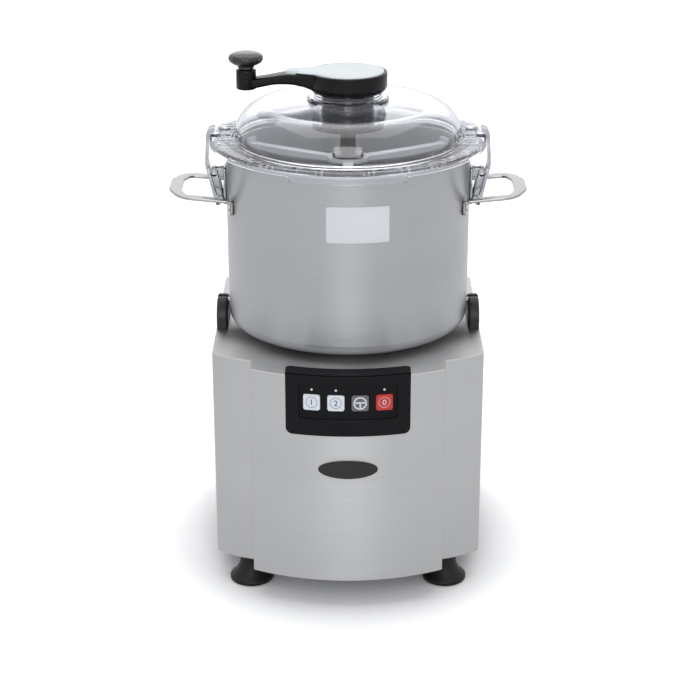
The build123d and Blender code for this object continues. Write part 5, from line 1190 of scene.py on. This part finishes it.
# ------------------------------------------------------------------ crank
@dataclass(frozen=True)
class Crank:
    """The winding crank: a round cap on a sleeve, a bevelled arm, a boss, a fluted grip and a pale cover."""

    reach: float = 115.0
    cap: float = 44.6
    cap_low: float = 563.4
    cap_top: float = 586.0
    flutes: int = 12
    flute_share: float = 0.035

    def build(self) -> None:
        """Build the crank's pieces."""
        self.cap_body()
        self.beam()
        self.boss()
        self.cover()
        self.knob()

    def cap_body(self) -> None:
        """Spin the cap, with its pocket for the cover and the sleeve below it."""
        piece = Piece("crank_cap_body", "crank", "knob_black", ("crank_arm",))
        top = self.cap_top
        floor = top - 3.95
        corners = [
            (9.05, 531.8), (9.3, 531.6), (29.6, 531.6), (30.0, 532.0), (30.0, self.cap_low),
            *arc((self.cap - 8.0, self.cap_low + 8.0), 8.0, -90, -4, 10),
            *arc((self.cap - 1.5, top - 1.5), 1.5, 0, 90, 4),
            (41.8, top), (41.4, top - 0.4), (41.4, floor), (0.0, floor), (0.0, 576.0), (9.05, 576.0),
        ]
        lathe(piece.mesh, metres(corners), 120)
        piece.done()

    def beam(self) -> None:
        """Loft the arm through (x, top, low, half width) stations, with ridges along the cover's tail."""
        piece = Piece("crank_beam", "crank", "knob_black")
        stations = [
            (-30, 584.2, 564.6, 27.0), (-36, 584.4, 566.2, 24.0), (-43, 584.4, 568.9, 21.2),
            (-50, 584.4, 570.9, 18.4), (-58, 584.3, 572.0, 15.5), (-66, 584.1, 572.4, 12.8),
            (-75, 583.1, 572.3, 11.7), (-84, 581.6, 571.8, 11.0), (-94, 579.9, 569.7, 10.3),
            (-104, 578.6, 567.4, 9.6), (-113, 577.6, 566.2, 8.8),
        ]
        rings = []
        for x, top, low, half in stations:
            corner = [(-half, low + 2.5), (-half + 2.2, low), (half - 2.2, low), (half, low + 2.5),
                      (half, top - 2.2), (half - 2.0, top), (2.0 - half, top), (-half, top - 2.2)]
            ring = [piece.mesh.verts.new((x * MM, y * MM, z * MM)) for y, z in corner]
            rings.append([piece.mesh.edges.new((a, b)) for a, b in zip(ring, ring[1:] + ring[:1])])
        for first, second in zip(rings, rings[1:]):
            bmesh.ops.bridge_loops(piece.mesh, edges=first + second)
        bmesh.ops.holes_fill(piece.mesh, edges=[e for e in piece.mesh.edges if e.is_boundary], sides=10)
        bmesh.ops.recalc_face_normals(piece.mesh, faces=piece.mesh.faces[:])
        edges = sharp_edges(piece.mesh, math.radians(25))
        soften(piece.mesh, [e for e in edges if abs(e.verts[0].co.x - e.verts[1].co.x) > 0.005], 0.0007)
        plan = metres([(-36, 23.4), (-57, 14.2), (-59, 12.2), (-57, 11.4), (-36, 20.6)])
        for side in (-1, 1):
            ridge = bmesh.new()
            prism(ridge, [(x, side * y, 0.5830) for x, y in plan], (0, 0, 0.0029))
            soften(ridge, edges_above(ridge, 0.5858), 0.0006)
            append(piece.mesh, ridge)
        bmesh.ops.recalc_face_normals(piece.mesh, faces=piece.mesh.faces[:])
        piece.done(math.radians(30))

    def boss(self) -> None:
        """Spin the boss that carries the grip's pin, with a bead round its top."""
        piece = Piece("crank_boss", "crank", "knob_black")
        corners = [
            (0.0, 565.4), (9.6, 565.4), (10.8, 565.9), (11.4, 567.0), (11.4, 583.6), (11.1, 584.0),
            (11.1, 584.6), (11.4, 585.0), (11.4, 586.8), (11.0, 587.6), (10.2, 588.0), (4.05, 588.0),
            (4.05, 574.0), (0.0, 574.0),
        ]
        lathe(piece.mesh, metres(corners), 64, centre=(-self.reach * MM, 0.0))
        piece.done()

    def cover(self) -> None:
        """The pale cover: a broad round head with a shallow dish, and a tail that ends in a raised tongue."""
        piece = Piece("crank_cover", "crank_cap", "pale_cap", ("crank_cap",))
        mesh = piece.mesh
        head, tail, end, low, high = 41.0, 7.0, -70.0, 582.1, 586.8
        root = math.degrees(math.acos(-0.45))
        tail_plan = rounded_outline([(end * 0.5, 21.9), (end, tail), (end, -tail), (end * 0.5, -21.9)],
                                    (0, 2.2, 2.2, 0), 4)
        plan = metres([*arc((0.0, 0.0), head, -root, root, 60), *tail_plan])
        prism(mesh, [(x, y, low * MM) for x, y in plan], (0, 0, (high - low) * MM))
        dish = bmesh.new()
        depth, reach = 1.3, 31.0
        bowl = (reach**2 + depth**2) / (2 * depth)
        turn = math.degrees(math.asin(reach / bowl))
        hollow = arc((0.0, high - depth + bowl), bowl, -90, turn - 90, 12)
        lathe(dish, metres([*hollow, (reach, high + 2.0), (0.0, high + 2.0)]), 96, centre=(0.0, 0.002))
        combine(mesh, dish, "DIFFERENCE")
        soften(mesh, edges_above(mesh, (high - 0.05) * MM, SQUARE_ANGLE), 0.0006, 3)
        tongue = bmesh.new()
        root, tip, half = end + 15.0, end + 1.2, tail - 0.4
        shape = rounded_outline([(root, half + 2.0), (tip, half), (tip, -half), (root, -half - 2.0)],
                                (1.0, 2.0, 2.0, 1.0))
        prism(tongue, [(x, y, (high - 1.0) * MM) for x, y in metres(shape)], (0, 0, 0.0020))
        soften(tongue, edges_above(tongue, (high + 0.9) * MM), 0.0006)
        append(mesh, tongue)
        piece.done()

    def knob(self) -> None:
        """Spin the flattened mushroom grip and press shallow facets round its crown."""
        piece = Piece("crank_grip", "crank_knob", "grip_black", ("crank_knob",), slot="knob_black")
        corners = [
            (4.05, 588.4), (7.8, 588.4), (8.6, 589.0), (8.6, 590.4), (9.5, 590.8), (9.5, 591.8),
            (8.7, 592.2), (9.4, 592.7), (12.4, 593.3), (15.4, 594.6), (17.8, 596.4), (19.3, 598.4),
            (19.9, 600.6), (19.6, 602.5), (18.3, 604.3), (15.9, 605.8), (12.2, 606.9), (8.0, 607.4),
            (4.0, 607.58), (0.0, 607.6), (0.0, 601.9), (4.05, 601.9),
        ]
        centre_x = -self.reach * MM
        lathe(piece.mesh, metres(corners), 144, centre=(centre_x, 0.0))
        plain, ramp, under = 0.0100, 0.006, 0.5931
        for vertex in piece.mesh.verts:
            arm = Vector((vertex.co.x - centre_x, vertex.co.y))
            if arm.length > plain and vertex.co.z > under:
                wave = abs(math.sin(self.flutes / 2 * math.atan2(arm.y, arm.x)))
                depth = self.flute_share * (1 - wave) ** 2 * min(1.0, (arm.length - plain) / ramp)
                vertex.co.x -= arm.x * depth
                vertex.co.y -= arm.y * depth
        piece.done(math.radians(45))


# ------------------------------------------------------------------ stage
@dataclass(frozen=True)
class Studio:
    """A white floor and backdrop, with a painted shadow on the floor round the machine, three soft lamps and
    the camera.
    """

    world: float = 0.48
    floor_tone: Colour = (0.93, 0.935, 0.95)
    # Painted shadow: seen by the camera, the floor is dimmer within this reach of the machine's middle, and
    # its gain rises to full across it.
    painted_shadow_span: Corner = (0.15, 0.23)
    far_span: Corner = (0.5, 4.0)
    painted_shadow_gain: Corner = (1.08, 1.52)
    floor_far: float = 0.75
    mirrored: float = 0.3
    camera_place: tuple[float, float, float] = (0.0, -2.042, 1.0559)
    camera_tilt: float = 68.4
    lens: float = 94.5
    shift: float = 0.00286

    def build(self) -> None:
        """Build the backdrop, the floor, the lamps and the camera."""
        self.sky()
        self.floor()
        self.lamp("top", (0.0, 0.7, 3.2), (0.0, 0.0, 0.3), (3.4, 3.0), 38.0)
        self.lamp("front", (0.0, -3.4, 2.2), (0.0, 0.0, 0.35), (1.7, 2.4), 36.0)
        self.lamp("back", (0.0, 2.9, 1.7), (0.0, 0.0, 0.5), (3.0, 1.6), 6.0)
        self.camera()

    def sky(self) -> None:
        """White where it is seen, reflected or looked at through plastic, and dimmer as light."""
        world = bpy.data.worlds.new("studio")
        sheet = fresh_sheet(world)
        path = sheet.add("ShaderNodeLightPath")
        seen = sheet.math("ADD", path.outputs["Is Camera Ray"], path.outputs["Is Transmission Ray"])
        seen = sheet.math("ADD", seen, path.outputs["Is Glossy Ray"])
        back = sheet.add("ShaderNodeBackground")
        back.inputs["Color"].default_value = (1.0, 1.0, 1.0, 1.0)
        sheet.join(sheet.remap(seen, WHOLE, (self.world, 1.0)), back.inputs["Strength"])
        sheet.join(back.outputs[0], sheet.add("ShaderNodeOutputWorld").inputs[0])
        bpy.context.scene.world = world

    def floor(self) -> None:
        """A pale floor that keeps the machine's shadow and adds a painted shadow round the machine: seen by
        the camera, it is dimmer close to the machine's middle and whitens with distance.
        """
        mesh = bmesh.new()
        bmesh.ops.create_grid(mesh, x_segments=8, y_segments=8, size=9.0)
        data = bpy.data.meshes.new("floor")
        mesh.to_mesh(data)
        mesh.free()
        floor = show("floor", data)
        made = bpy.data.materials.new("floor_white")
        sheet = fresh_sheet(made)
        path = sheet.add("ShaderNodeLightPath")
        seen = sheet.math("MAXIMUM", path.outputs["Is Camera Ray"], path.outputs["Is Transmission Ray"])
        mirrored = sheet.math("MULTIPLY", path.outputs["Is Glossy Ray"], self.mirrored)
        seen = sheet.math("MAXIMUM", seen, mirrored)
        place = sheet.add("ShaderNodeVectorMath", operation="LENGTH")
        sheet.join(sheet.add("ShaderNodeTexCoord").outputs["Object"], place.inputs[0])
        # Painted shadow: a lower gain close to the machine darkens the floor round it; far from it, the floor
        # whitens with distance.
        near = sheet.remap(place.outputs["Value"], self.painted_shadow_span, self.painted_shadow_gain)
        far = sheet.remap(place.outputs["Value"], self.far_span, (0.0, self.floor_far))
        gain = sheet.math("ADD", sheet.math("MULTIPLY", seen, sheet.math("ADD", near, far)),
                          sheet.math("SUBTRACT", 1.0, seen))
        tone = sheet.add("ShaderNodeVectorMath", operation="SCALE")
        tone.inputs[0].default_value = self.floor_tone
        sheet.join(gain, tone.inputs["Scale"])
        shader = sheet.add("ShaderNodeBsdfDiffuse")
        sheet.join(tone.outputs[0], shader.inputs["Color"])
        sheet.join(shader.outputs[0], sheet.add("ShaderNodeOutputMaterial").inputs[0])
        data.materials.append(made)

    @staticmethod
    def lamp(name: str, place: Sequence[float], aim: Sequence[float], size: Corner, power: float) -> None:
        """A soft lamp.

        Args:
            name: The lamp's name.
            place: Where it stands.
            aim: What it points at.
            size: Its width and height in metres.
            power: Its power in watts.
        """
        data = bpy.data.lights.new(name, "AREA")
        data.shape = "RECTANGLE"
        data.size, data.size_y = size
        data.energy = power
        lamp = show(name, data)
        lamp.location = place
        lamp.rotation_euler = (Vector(aim) - Vector(place)).to_track_quat("-Z", "Y").to_euler()

    def camera(self) -> None:
        """The camera, in front of the machine and a little above it."""
        data = bpy.data.cameras.new("camera")
        data.lens = self.lens
        data.shift_x = self.shift
        made = show("camera", data)
        made.location = self.camera_place
        made.rotation_euler = (math.radians(self.camera_tilt), 0.0, 0.0)
        bpy.context.scene.camera = made
        bpy.context.scene.view_settings.view_transform = "Standard"


def dress_frame() -> None:
    """Give every CAD node that stays in view the finish of its record slot."""
    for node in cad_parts.values():
        slot = node.data.materials[0].name.split(".")[0]
        node.data.materials.clear()
        node.data.materials.append(finish_material(slot))


def main() -> None:
    """Build the machine's looks and the studio."""
    logging.basicConfig(level=logging.INFO, format="%(message)s")
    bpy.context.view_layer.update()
    dress_frame()
    for assembly in (Feet(), ControlPanel(), Bowl(), Latch(), Lid(), Crank(), Studio()):
        LOG.info("building %s", type(assembly).__name__)
        assembly.build()


if __name__ == "__main__":
    main()
